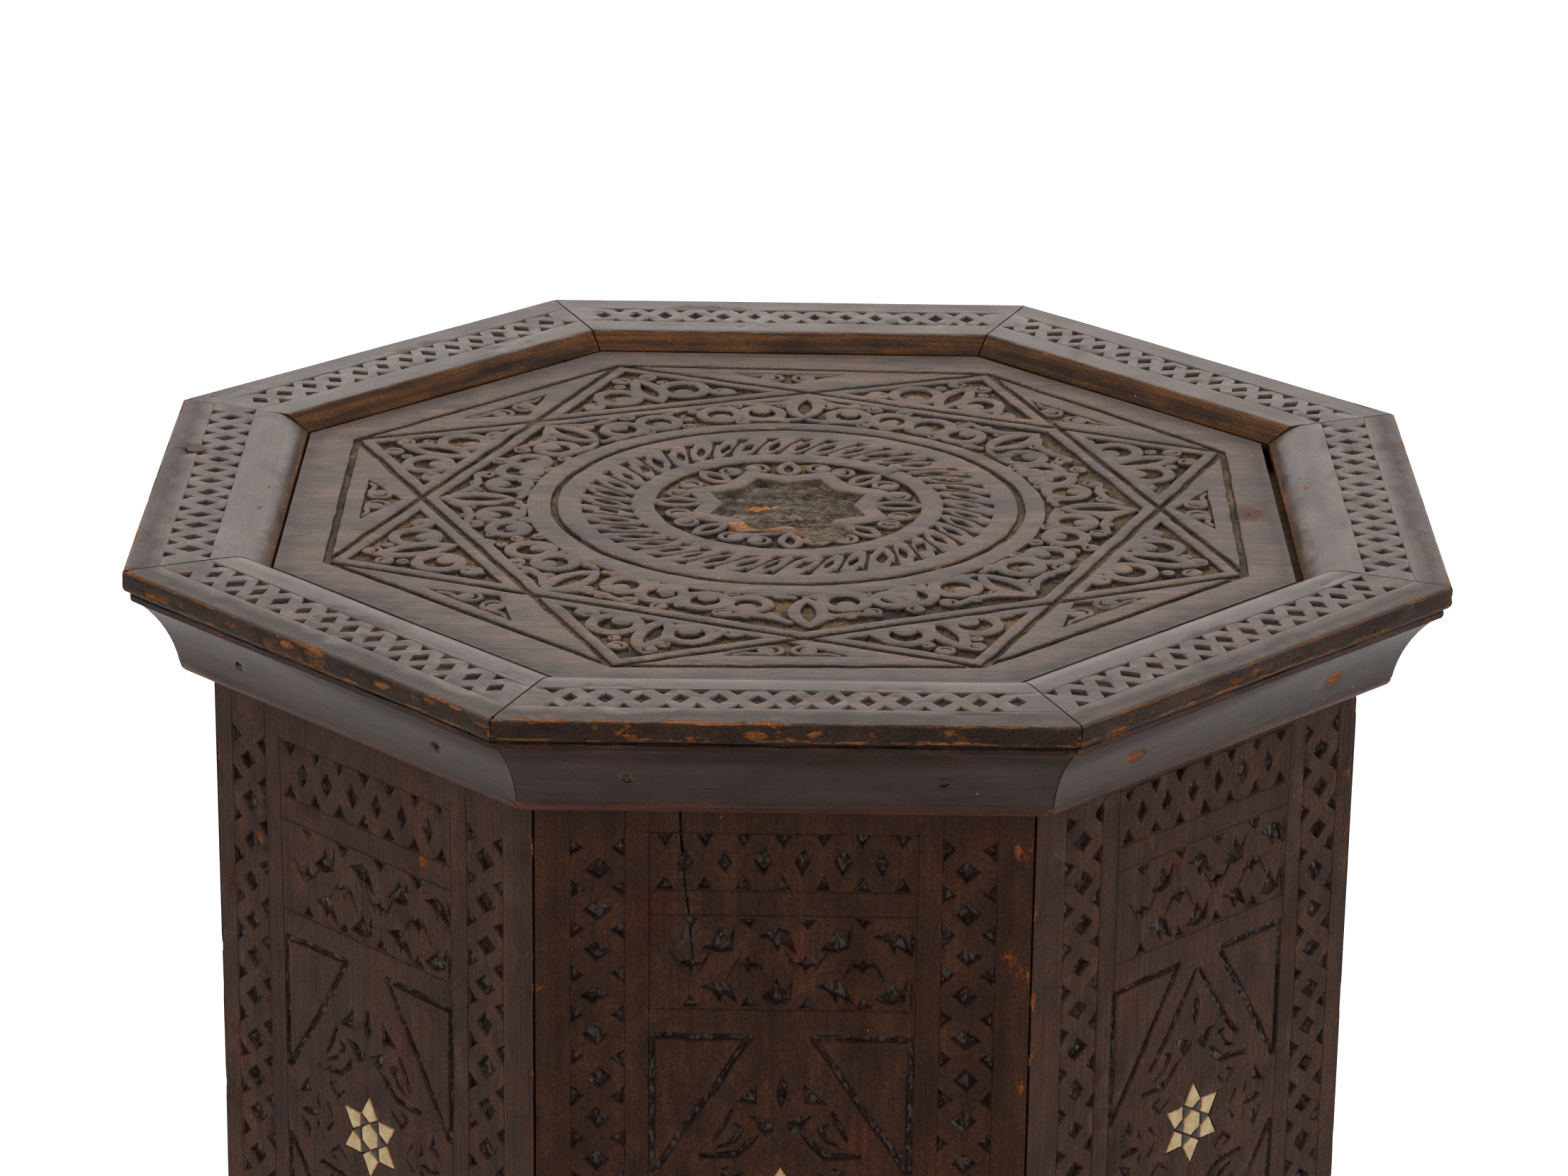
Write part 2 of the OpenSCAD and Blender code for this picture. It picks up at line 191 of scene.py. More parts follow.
def lens(p: Point, q: Point, width: float) -> Shape:
    """Pointed leaf from p to q.

    Args:
        p: one tip, in mm.
        q: other tip, in mm.
        width: greatest width, in mm.

    Returns:
        The shape.
    """
    a, b = np.array(p, float), np.array(q, float)
    mid, along = (a + b) / 2, (b - a) / 2
    half, reach = width / 2, np.hypot(*along)
    r = (reach * reach + half * half) / (2 * half)
    side = np.array([-along[1], along[0]]) / reach * (r - half)
    (x1, y1), (x2, y2) = mid + side, mid - side
    pad = reach + half
    return Shape(
        (mid[0] - pad, mid[1] - pad, mid[0] + pad, mid[1] + pad),
        lambda x, y: r - np.maximum(np.hypot(x - x1, y - y1), np.hypot(x - x2, y - y2)),
    )


def polar(r: float, degrees: float) -> Point:
    """Point at a distance and an angle from the middle."""
    a = math.radians(degrees)
    return r * math.cos(a), r * math.sin(a)


def meeting(p: Point, q: Point, r: Point, s: Point) -> Point:
    """Where the line from p to q crosses the line from r to s.

    Args:
        p: start of the first line.
        q: end of the first line.
        r: start of the second line.
        s: end of the second line.

    Returns:
        The crossing.
    """
    (a, b), (c, d) = np.subtract(q, p), np.subtract(s, r)
    e, f = np.subtract(r, p)
    share = (e * d - f * c) / (a * d - b * c)
    return p[0] + share * a, p[1] + share * b


def star(tips: int, r_tip: float, r_notch: float, first: float = 0) -> list[Point]:
    """Corners of a star: tip, notch, tip, and so on, from the angle of its first tip."""
    return [polar(r_notch if k % 2 else r_tip, first + 180 * k / tips) for k in range(2 * tips)]


def curl(r: float, band: float, bulb: float, towards: float) -> Shape:
    """Scroll that closes on itself: a ring whose end comes in as a round bud.

    Args:
        r: outer radius of the ring.
        band: width of the ring.
        bulb: radius of the bud.
        towards: side of the ring that the bud grows from, in degrees.

    Returns:
        The raised shape about its own middle.
    """
    bud = polar(r - band - 0.55 * bulb, towards)
    return (disc(0, 0, r) - disc(0, 0, r - band)) + disc(*bud, bulb)


# ------------ hand of the carver


class Unevenness:
    """Smooth random field: the same numbers on each run, about zero and within about two."""

    def __init__(self, seed: int, size: float, stretch: float = 1) -> None:
        """Makes the field.

        Args:
            seed: which of the random fields it is.
            size: distance between its random values, in mm.
            stretch: how many times as long its patches are along the first axis.
        """
        self.cells = np.random.default_rng(seed).standard_normal((64, 64))
        self.size, self.stretch = size, stretch

    def at(self, x: Array, y: Array) -> Array:
        """Value at each point.

        Args:
            x: places across, in mm.
            y: places up, in mm.

        Returns:
            One value for each point.
        """
        fx, fy = np.asarray(x) / (self.size * self.stretch), np.asarray(y) / self.size
        ix, iy = np.floor(fx).astype(int), np.floor(fy).astype(int)
        tx, ty = fx - ix, fy - iy
        tx, ty = tx * tx * (3 - 2 * tx), ty * ty * (3 - 2 * ty)
        c = self.cells
        a, b = c[iy % 64, ix % 64], c[iy % 64, (ix + 1) % 64]
        d, e = c[(iy + 1) % 64, ix % 64], c[(iy + 1) % 64, (ix + 1) % 64]
        return (a * (1 - tx) + b * tx) * (1 - ty) + (d * (1 - tx) + e * tx) * ty


class Layer(Enum):
    """What a carved surface carries besides its shape, as the name of a mesh attribute."""

    SUNK = "sunk"
    BARE = "bare"
    AGED = "aged"
    WARM = "warm"
    DULL = "dull"
    # dirt, and painted shade in creases, under overhangs and along the board's edge
    GRIME = "grime"
    ARRIS = "arris"


class Relief:
    """Depth picture of one carved surface, on a fine square net."""

    def __init__(
        self,
        box: Box,
        seed: int,
        step: float = 0.3,
        wobble: float = 0.28,
        rounding: tuple[float, float] = (0.0, 0.5),
        gouged: float = 0.13,
    ) -> None:
        """Makes an uncut surface.

        Args:
            box: lowest and highest corner of the surface, in mm.
            seed: which carver's hand it is.
            step: spacing of the net.
            wobble: how far the knife strays from the drawn line.
            rounding: how far a worn edge is rubbed down, and over what width.
            gouged: how uneven the floors are, as a share of their depth.
        """
        self.box, self.step, self.seed = box, step, seed
        self.rounding, self.gouged = rounding, gouged
        nx, ny = (int(math.ceil((box[k + 2] - box[k]) / step)) + 1 for k in (0, 1))
        x, y = np.meshgrid(box[0] + step * np.arange(nx), box[1] + step * np.arange(ny))
        stray = [Unevenness(seed * 10 + k, size) for k, size in enumerate((7, 7, 2.6, 2.6))]
        self.x = x + wobble * (stray[0].at(x, y) + 0.35 * stray[2].at(x, y))
        self.y = y + wobble * (stray[1].at(x, y) + 0.35 * stray[3].at(x, y))
        self.cut = np.full(x.shape, UNCUT)
        self.raised = np.full(x.shape, UNCUT)
        self.depth = np.ones(x.shape)
        self.steep = np.ones(x.shape)
        marks = (Layer.BARE, Layer.AGED, Layer.WARM, Layer.DULL, Layer.GRIME)
        self.spots = {layer: np.zeros(x.shape) for layer in marks}
        self.shift: Point = (0.0, 0.0)
        self.torn = np.zeros(x.shape)
        self.dense: list[tuple[Shape, float]] = []
        self.scribed: list[tuple[Array, float, float]] = []
        self.bow = Unevenness(seed + 700, 45)

    def window(self, box: Box, pad: float = 2.5) -> tuple[slice, slice]:
        """Part of the net that a shape's box covers.

        Args:
            box: left, lower, right and upper limit, in mm.
            pad: margin round it, in mm.

        Returns:
            Rows and columns of the net.
        """
        (x0, y0), h = self.box[:2], self.step
        cols = slice(max(0, int((box[0] - pad - x0) / h)), max(0, int((box[2] + pad - x0) / h) + 1))
        rows = slice(max(0, int((box[1] - pad - y0) / h)), max(0, int((box[3] + pad - y0) / h) + 1))
        return rows, cols

    def carve(self, shape: Shape, depth: float, steep: float = 2.6) -> None:
        """Cuts a hollow.

        Args:
            shape: its outline at the surface.
            depth: its depth, in mm.
            steep: depth gained per mm from the outline.
        """
        shape = shape.placed(self.shift)
        w = self.window(shape.box)
        if self.x[w].size:
            f = shape.inside(self.x[w], self.y[w])
            self._lower(w, f, depth, steep)

    def _lower(self, w: tuple[slice, slice], f: Array, depth: float, steep: float) -> None:
        """Takes over a cut wherever it lies further inside than the cuts before it.

        Args:
            w: part of the net.
            f: distance inside the cut, in mm.
            depth: depth, in mm.
            steep: depth gained per mm from the outline.
        """
        more = f > self.cut[w]
        self.cut[w] = np.maximum(self.cut[w], f)
        near = more & (f > -BESIDE)
        self.depth[w] = np.where(near, depth, self.depth[w])
        self.steep[w] = np.where(near, steep, self.steep[w])

    def leave(self, *shapes: Shape) -> None:
        """Marks shapes that stay standing when the ground round them is sunk.

        Args:
            shapes: the shapes.
        """
        for shape in shapes:
            w = self.window(shape.box)
            self.raised[w] = np.maximum(self.raised[w], shape.inside(self.x[w], self.y[w]))

    def sink(self, region: Shape, depth: float, steep: float = 3.6) -> None:
        """Sinks the ground of a region round all the shapes left standing in it.

        Args:
            region: the region.
            depth: depth, in mm.
            steep: depth gained per mm from the outline.
        """
        w = self.window(region.box)
        f = np.minimum(region.inside(self.x[w], self.y[w]), -self.raised[w])
        self._lower(w, f, depth, steep)
        self.raised[w] = UNCUT

    def stain(self, layer: Layer, shape: Shape, strength: float = 1, soft: float = 1, gap: float = 1.2) -> None:
        """Marks a patch of the surface.

        Args:
            layer: what the patch shows.
            shape: its outline.
            strength: how fully it shows.
            soft: width over which it fades.
            gap: spacing of the points that carry it.
        """
        w = self.window(shape.box)
        value = strength * np.clip(0.5 + shape.inside(self.x[w], self.y[w]) / soft, 0, 1)
        self.spots[layer][w] = np.maximum(self.spots[layer][w], value)
        self.dense.append((shape, gap))

    def fray(self, shape: Shape, amount: float, size: float, stretch: float = 1, gap: float = 1.0) -> None:
        """Tears the wood of a patch into ridges.

        Args:
            shape: outline of the patch.
            amount: height of the ridges.
            size: width of the ridges.
            stretch: how many times as long as wide they are, along the first axis.
            gap: spacing of the points that carry them.
        """
        w = self.window(shape.box)
        share = np.clip(shape.inside(self.x[w], self.y[w]) / 1.5, 0, 1)
        ridges = Unevenness(self.seed + 300, size, stretch).at(self.x[w], self.y[w])
        self.torn[w] += amount * share * ridges
        self.dense.append((shape, gap))

    def scribe(self, p: Point, q: Point, width: float = 0.5, depth: float = 0.22) -> None:
        """Rules a fine line from p to q with the marking gauge."""
        self.scribed.append((np.array([p, q], float) + self.shift, width, depth))

    def finish(self) -> None:
        """Turns the cuts into depths, with the floors left uneven by the gouge."""
        rough = Unevenness(self.seed + 500, 1.5)
        self.share = np.where(self.cut > 0, self.cut * self.steep / self.depth, self.cut / 0.4)
        floor = np.clip(self.share, 0, 1)
        uneven = 1 + self.gouged * floor * rough.at(self.x, self.y)
        rubbed, width = self.rounding
        worn = rubbed * np.clip(1 - np.abs(self.cut) / width, 0, 1) * (1 - floor)
        self.fall = self.depth * floor * uneven + self.torn + worn

    def depth_at(self, p: Array) -> Array:
        """Depth below the flat sheet at points of it.

        Args:
            p: points of the sheet, in mm.

        Returns:
            Depth of each point, in mm.
        """
        fall = self.sample(self.fall, p) + 0.1 + 0.09 * np.clip(self.bow.at(p[:, 0], p[:, 1]), -1, 1)
        for (a, b), width, depth in self.scribed:
            line = ribbon([tuple(a), tuple(b)], [width])
            fall = fall + depth * np.clip(2 * line.inside(p[:, 0], p[:, 1]) / width, 0, 1)
        return np.maximum(fall, 0)

    def layers_at(self, p: Array) -> dict[Layer, Array]:
        """What the finish reads at points of the sheet.

        Args:
            p: points of the sheet, in mm.

        Returns:
            Values of each layer.
        """
        read = {layer: self.sample(net, p) for layer, net in self.spots.items()}
        read[Layer.SUNK] = np.clip(self.sample(self.fall, p) / 1.5, 0, 1)
        read[Layer.ARRIS] = np.clip(1 - np.abs(self.sample(self.cut, p)) / 0.5, 0, 1)
        return read

    def sample(self, grid: Array, p: Array) -> Array:
        """Value of a net at points, between its nodes in proportion.

        Args:
            grid: the net.
            p: points of the sheet, in mm.

        Returns:
            One value for each point.
        """
        ny, nx = grid.shape
        fx = np.clip((p[:, 0] - self.box[0]) / self.step, 0, nx - 1.001)
        fy = np.clip((p[:, 1] - self.box[1]) / self.step, 0, ny - 1.001)
        ix, iy = fx.astype(int), fy.astype(int)
        tx, ty = fx - ix, fy - iy
        low = grid[iy, ix] * (1 - tx) + grid[iy, ix + 1] * tx
        return low * (1 - ty) + (grid[iy + 1, ix] * (1 - tx) + grid[iy + 1, ix + 1] * tx) * ty

    def lines(self, grid: Array, level: float, slack: float) -> list[Array]:
        """Closed and open lines along which a net has one value.

        Args:
            grid: the net.
            level: the value.
            slack: how far a line may be straightened, in mm.

        Returns:
            The lines, each as an array of points.
        """
        v = grid - level
        v = np.where(v == 0, 1e-9, v)
        s = v > 0
        flat, tall = s[:, 1:] != s[:, :-1], s[1:] != s[:-1]
        n = int(flat.sum())
        flat_id, tall_id = np.full(flat.shape, -1), np.full(tall.shape, -1)
        flat_id[flat] = np.arange(n)
        tall_id[tall] = n + np.arange(int(tall.sum()))
        i, j = np.nonzero(flat)
        on_flat = np.stack([j + v[i, j] / (v[i, j] - v[i, j + 1]), i], 1)
        i, j = np.nonzero(tall)
        on_tall = np.stack([j, i + v[i, j] / (v[i, j] - v[i + 1, j])], 1)
        points = np.concatenate([on_flat, on_tall]) * self.step + self.box[:2]
        sides = np.stack([flat_id[:-1], flat_id[1:], tall_id[:, :-1], tall_id[:, 1:]], -1)
        count = (sides >= 0).sum(-1)
        pairs = [np.sort(sides[count == 2], -1)[:, 2:]]
        i, j = np.nonzero(count == 4)
        if len(i):
            middle = v[i, j] + v[i, j + 1] + v[i + 1, j] + v[i + 1, j + 1] > 0
            joined = middle == s[i, j]
            b, t, l, r = sides[i, j].T
            pairs += [
                np.stack([b, np.where(joined, r, l)], 1),
                np.stack([t, np.where(joined, l, r)], 1),
            ]
        pairs = np.concatenate(pairs)
        both = np.concatenate([pairs, pairs[:, ::-1]])
        both = both[np.argsort(both[:, 0], kind="stable")]
        start = np.searchsorted(both[:, 0], np.arange(len(points) + 1)).tolist()
        other = both[:, 1].tolist()
        seen = [False] * len(points)
        found = []
        ends = [k for k in range(len(points)) if start[k + 1] - start[k] == 1]
        for first in ends + list(range(len(points))):
            if seen[first]:
                continue
            chain, here = [], first
            while here >= 0:
                seen[here] = True
                chain.append(here)
                here = next((m for m in other[start[here] : start[here + 1]] if not seen[m]), -1)
            closed = first in other[start[chain[-1]] : start[chain[-1] + 1]] and len(chain) > 2
            line = points[chain + [first]] if closed else points[chain]
            if len(line) > 5:
                found.append(straightened(line, slack))
        return [line for line in found if len(line) > 2]


def straightened(line: Array, slack: float) -> Array:
    """The line with every point left out that lies within slack of the line through its neighbours.

    Args:
        line: points of the line, in mm.
        slack: how far the line may move, in mm.

    Returns:
        The points kept.
    """
    keep = np.zeros(len(line), bool)
    keep[[0, -1]] = True
    stack = [(0, len(line) - 1)]
    if np.allclose(line[0], line[-1]):
        far = int(np.argmax(np.hypot(*(line - line[0]).T)))
        keep[far] = True
        stack = [(0, far), (far, len(line) - 1)]
    while stack:
        a, b = stack.pop()
        if b - a < 2:
            continue
        d = line[b] - line[a]
        long = math.hypot(*d) or 1e-9
        off = np.abs((line[a + 1 : b, 0] - line[a, 0]) * d[1] - (line[a + 1 : b, 1] - line[a, 1]) * d[0]) / long
        k = int(np.argmax(off))
        if off[k] > slack:
            keep[a + 1 + k] = True
            stack += [(a, a + 1 + k), (a + 1 + k, b)]
    return line[keep]


# ------------ meshes


def spaced(line: Array, gap: float) -> Array:
    """A line with points added so that none are further apart than gap.

    Args:
        line: points of the line, in mm.
        gap: widest gap left, in mm.

    Returns:
        The line with its added points.
    """
    out = [line[:1]]
    for a, b in zip(line[:-1], line[1:]):
        n = max(1, int(math.ceil(math.hypot(*(b - a)) / gap)))
        out.append(a + (b - a) * (np.arange(1, n + 1) / n)[:, None])
    return np.concatenate(out)


def scattered(box: Box, gap: float, rng: np.random.Generator) -> Array:
    """Points over a box, about gap apart, each a little off its place."""
    gx, gy = np.meshgrid(np.arange(box[0], box[2], gap), np.arange(box[1], box[3], gap))
    return np.stack([gx.ravel(), gy.ravel()], 1) + rng.uniform(-0.33, 0.33, (gx.size, 2)) * gap


def within(points: Array, outline: Array) -> Array:
    """Whether each point lies inside a closed outline.

    Args:
        points: points to test.
        outline: corners of the outline.

    Returns:
        One answer for each point.
    """
    odd = np.zeros(len(points), bool)
    x, y = points.T
    for (ax, ay), (bx, by) in zip(outline, np.roll(outline, -1, 0)):
        if ay != by:
            odd ^= ((ay <= y) != (by <= y)) & (x < ax + (y - ay) * (bx - ax) / (by - ay))
    return odd


def triangulated(points: Array, edges: Array, outline: Array, holes: Sequence[Array]) -> tuple[Array, Array]:
    """Triangles over a region that keep the given edges.

    Args:
        points: corners, in mm.
        edges: pairs of corners.
        outline: edge of the region.
        holes: openings in it.

    Returns:
        The corners, with those where edges cross added, and anticlockwise triangles.
    """
    out = delaunay_2d_cdt([Vector(p) for p in points.tolist()], edges.tolist(), [], 0, 1e-4)
    p = np.array([tuple(v) for v in out[0]], float)
    t = np.array(out[2], int)
    a, b, c = p[t[:, 0]], p[t[:, 1]], p[t[:, 2]]
    area = (b[:, 0] - a[:, 0]) * (c[:, 1] - a[:, 1]) - (b[:, 1] - a[:, 1]) * (c[:, 0] - a[:, 0])
    t[area < 0] = t[area < 0][:, ::-1]
    middle = (a + b + c) / 3
    keep = within(middle, outline) & (np.abs(area) > 1e-7)
    for hole in holes:
        keep &= ~within(middle, hole)
    return p, t[keep]


@dataclass
class Sheet:
    """Carved surface laid flat: its relief, its outline, and the lines along which it bends (mm)."""

    relief: Relief
    outline: Array
    holes: list[Array] = field(default_factory=list)
    creases: list[Array] = field(default_factory=list)
    levels: tuple[float, ...] = (0.0, 0.5, 0.96)
    lip: float = 0.0
    slack: float = 0.08
    floor_gap: float = 1.6
    field_gap: float = 7.0
    rim_gap: float = 4.0
    scribe_gap: float = 9.0

    def cut_up(self) -> tuple[Array, Array]:
        """Points and triangles of the sheet.

        Returns:
            The points, and three point numbers for each triangle.
        """
        r = self.relief
        rng = np.random.default_rng(r.seed + 900)
        lines = [spaced(np.vstack([o, o[:1]]), self.rim_gap) for o in [self.outline, *self.holes]]
        lines += [spaced(c, self.rim_gap) for c in self.creases]
        if self.lip:
            lines += r.lines(r.cut, -self.lip, self.slack)
        for level in self.levels:
            grid = r.cut if level == 0 else r.share
            lines += r.lines(grid, level, self.slack)
        for ends, width, _ in r.scribed:
            across = (ends[1] - ends[0])[::-1] * (-1, 1)
            across = across / np.hypot(*across) * width / 2
            lines += [spaced(ends + k * across, self.scribe_gap) for k in (-1, 0, 1)]
        loose = []
        for gap, wanted in (
            (self.floor_gap, lambda p: (r.sample(r.share, p) > 1.02) & (r.sample(r.cut, p) > 0.45)),
            (self.field_gap, lambda p: r.sample(r.cut, p) < -1.0),
        ):
            p = scattered(r.box, gap, rng)
            loose.append(p[wanted(p)])
        for shape, gap in r.dense:
            p = scattered(shape.box, gap, rng)
            loose.append(p[shape.inside(p[:, 0], p[:, 1]) > 0])
        inner = np.concatenate(loose)
        inner = inner[within(inner, self.outline)]
        edges, at = [], 0
        for line in lines:
            edges.append(np.stack([np.arange(len(line) - 1), np.arange(1, len(line))], 1) + at)
            at += len(line)
        return triangulated(np.concatenate([*lines, inner]), np.concatenate(edges), self.outline, self.holes)


@dataclass
class Body:
    """Mesh under construction: corners in mm, faces, and the layers that its finish reads."""

    points: Array
    faces: list[tuple[int, ...]]
    lay: Array
    layers: dict[Layer, Array] = field(default_factory=dict)

    def made(
        self, name: str, node: str, slot: str, finish: bpy.types.Material, crisp: float = 32
    ) -> bpy.types.Object:
        """Makes the piece and sets it in place of its plain solid.

        Args:
            name: the piece's name.
            node: the solid that it stands for.
            slot: not used.
            finish: its material.
            crisp: angle above which an edge stays sharp, in degrees.

        Returns:
            The new object.
        """
        mesh = bpy.data.meshes.new(name)
        mesh.from_pydata((self.points * MM).tolist(), [], self.faces)
        lay = mesh.attributes.new("lay", "FLOAT_VECTOR", "POINT")
        lay.data.foreach_set("vector", self.lay.astype(np.float32).ravel())
        for layer in Layer:
            values = self.layers.get(layer, np.zeros(len(self.points)))
            made = mesh.attributes.new(layer.value, "FLOAT", "POINT")
            made.data.foreach_set("value", values.astype(np.float32))
        tool = bmesh_of(mesh)
        bmesh.ops.remove_doubles(tool, verts=tool.verts, dist=2e-6)
        bmesh.ops.delete(tool, geom=[v for v in tool.verts if not v.link_faces], context="VERTS")
        open_edges = [e for e in tool.edges if e.is_boundary]
        if open_edges:
            bmesh.ops.holes_fill(tool, edges=open_edges, sides=0)
        bmesh.ops.recalc_face_normals(tool, faces=tool.faces)
        tool.to_mesh(mesh)
        tool.free()
        mesh.shade_smooth()
        mesh.set_sharp_from_angle(angle=math.radians(crisp))
        mesh.materials.append(finish)
        piece = bpy.data.objects.new(name, mesh)
        bpy.context.scene.collection.objects.link(piece)
        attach(piece, "root")
        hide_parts(node)
        log.info("%s: %d faces", name, len(mesh.polygons))
        return piece


def bmesh_of(mesh: bpy.types.Mesh) -> bmesh.types.BMesh:
    """Editable copy of a mesh.

    Args:
        mesh: the mesh.

    Returns:
        The copy.
    """
    tool = bmesh.new()
    tool.from_mesh(mesh)
    return tool


def edge_of(triangles: Array) -> Array:
    """Directed edges that only one triangle uses.

    Args:
        triangles: three point numbers for each triangle.

    Returns:
        Two point numbers for each edge.
    """
    e = np.concatenate([triangles[:, [0, 1]], triangles[:, [1, 2]], triangles[:, [2, 0]]])
    key = np.sort(e, 1)
    _, back, count = np.unique(key, axis=0, return_inverse=True, return_counts=True)
    return e[count[back.ravel()] == 1]


def faced(i: int, a: Array, u: Array, z: Array) -> Array:
    """Points given on face i, as distance outward, distance along and height, in the table's frame."""
    t = math.radians(45 * (i - 1) - 90)
    return np.stack([a * math.cos(t) - u * math.sin(t), a * math.sin(t) + u * math.cos(t), z + 0 * a], 1)


@dataclass
class Slab:
    """Flat board: one carved face, plain sides and a plain back."""

    sheet: Sheet
    thickness: float
    drawn_in: Callable[[Array], Array] = lambda p: p

    def body(self, place: Callable[[Array, Array], Array], shift: float) -> Body:
        """Builds the board.

        Args:
            place: gives the place of a point of the sheet at a depth below the face.
            shift: moves the grain, so that no two boards show the same figure.

        Returns:
            The board in the table's frame.
        """
        flat, triangles = self.sheet.cut_up()
        relief = self.sheet.relief
        fall = relief.depth_at(flat)
        rim = edge_of(triangles)
        at_rim = np.unique(rim)
        behind = {k: len(flat) + n for n, k in enumerate(at_rim.tolist())}
        back = self.drawn_in(flat[at_rim])
        points = np.concatenate([place(flat, fall), place(back, np.full(len(back), self.thickness))])
        lay = np.concatenate([flat, back])
        deep = np.concatenate([fall, np.full(len(back), self.thickness)])
        faces = [tuple(t) for t in triangles.tolist()]
        faces += [(b, a, behind[a], behind[b]) for a, b in rim.tolist()]
        layers = relief.layers_at(flat)
        layers = {k: np.concatenate([v, v[at_rim] * (k is Layer.BARE)]) for k, v in layers.items()}
        return Body(points, faces, np.stack([lay[:, 0] + shift, lay[:, 1] + 0.37 * shift, deep], 1), layers)


@dataclass
class Moulding:
    """Length of moulding on one face: its section is bent from a flat carved sheet, its ends are mitred."""

    section: Array
    face: int
    relief: Relief
    mitre_gap: float = 0.25

    @staticmethod
    def stations(section: Array) -> Array:
        """Length of the way round the section at each of its points."""
        return np.concatenate([[0], np.cumsum(np.hypot(*np.diff(section, axis=0).T))])

    def body(self, shift: float, sheet: Callable[..., Sheet] = Sheet) -> Body:
        """Builds the moulding.

        Args:
            shift: moves the grain.
            sheet: makes the sheet from its relief, outline and creases.

        Returns:
            The moulding in the table's frame, open at its mitres.
        """
        s = self.stations(self.section)
        half = self.section[:, 0] * math.tan(HALF) - self.mitre_gap
        right, left = np.stack([half, s], 1), np.stack([-half, s], 1)
        creases = [np.stack([left[k], right[k]]) for k in range(1, len(s) - 1)]
        flat, triangles = sheet(self.relief, np.vstack([right, left[::-1]]), creases=creases).cut_up()
        seam = (flat[:, 1] < 0.01) | (flat[:, 1] > s[-1] - 0.01)
        fall = np.where(seam, 0, self.relief.depth_at(flat))
        at, ahead, behind = (
            [np.interp(flat[:, 1] + d, s, self.section[:, k]) for k in (0, 1)] for d in (0, 0.05, -0.05)
        )
        along = np.stack([ahead[0] - behind[0], ahead[1] - behind[1]], 1)
        along /= np.hypot(*along.T)[:, None]
        a, z = at[0] - along[:, 1] * fall, at[1] + along[:, 0] * fall
        points = faced(self.face, a, flat[:, 0], z)
        lay = np.stack([flat[:, 0] + shift, flat[:, 1] + 0.37 * shift, fall], 1)
        return Body(points, [tuple(t) for t in triangles.tolist()], lay, self.relief.layers_at(flat))


def arc(middle: Point, r: float, start: float, end: float, steps: int) -> list[Point]:
    """Points of an arc between two angles in degrees."""
    turns = np.radians(np.linspace(start, end, steps + 1))
    return [(middle[0] + r * math.cos(t), middle[1] + r * math.sin(t)) for t in turns]


def blot(x: float, y: float, size: float, rng: np.random.Generator, long: float = 1.6) -> Shape:
    """Ragged patch, longer along the first axis.

    Args:
        x: place of its middle.
        y: place of its middle.
        size: about half its height.
        rng: source of its ragged outline.
        long: how many times as long as high it is.

    Returns:
        The patch.
    """
    turns = np.linspace(0, 2 * math.pi, 10)[:-1]
    reach = size * rng.uniform(0.55, 1.3, len(turns))
    return polygon([(x + long * q * math.cos(t), y + q * math.sin(t)) for q, t in zip(reach, turns)])


def strip(half: float, low: float, high: float) -> Shape:
    """Band right across a moulding and past its ends, between two places on the way round."""
    reach = half + 3
    return polygon([(-reach, low), (reach, low), (reach, high), (-reach, high)])


# ------------ pieces


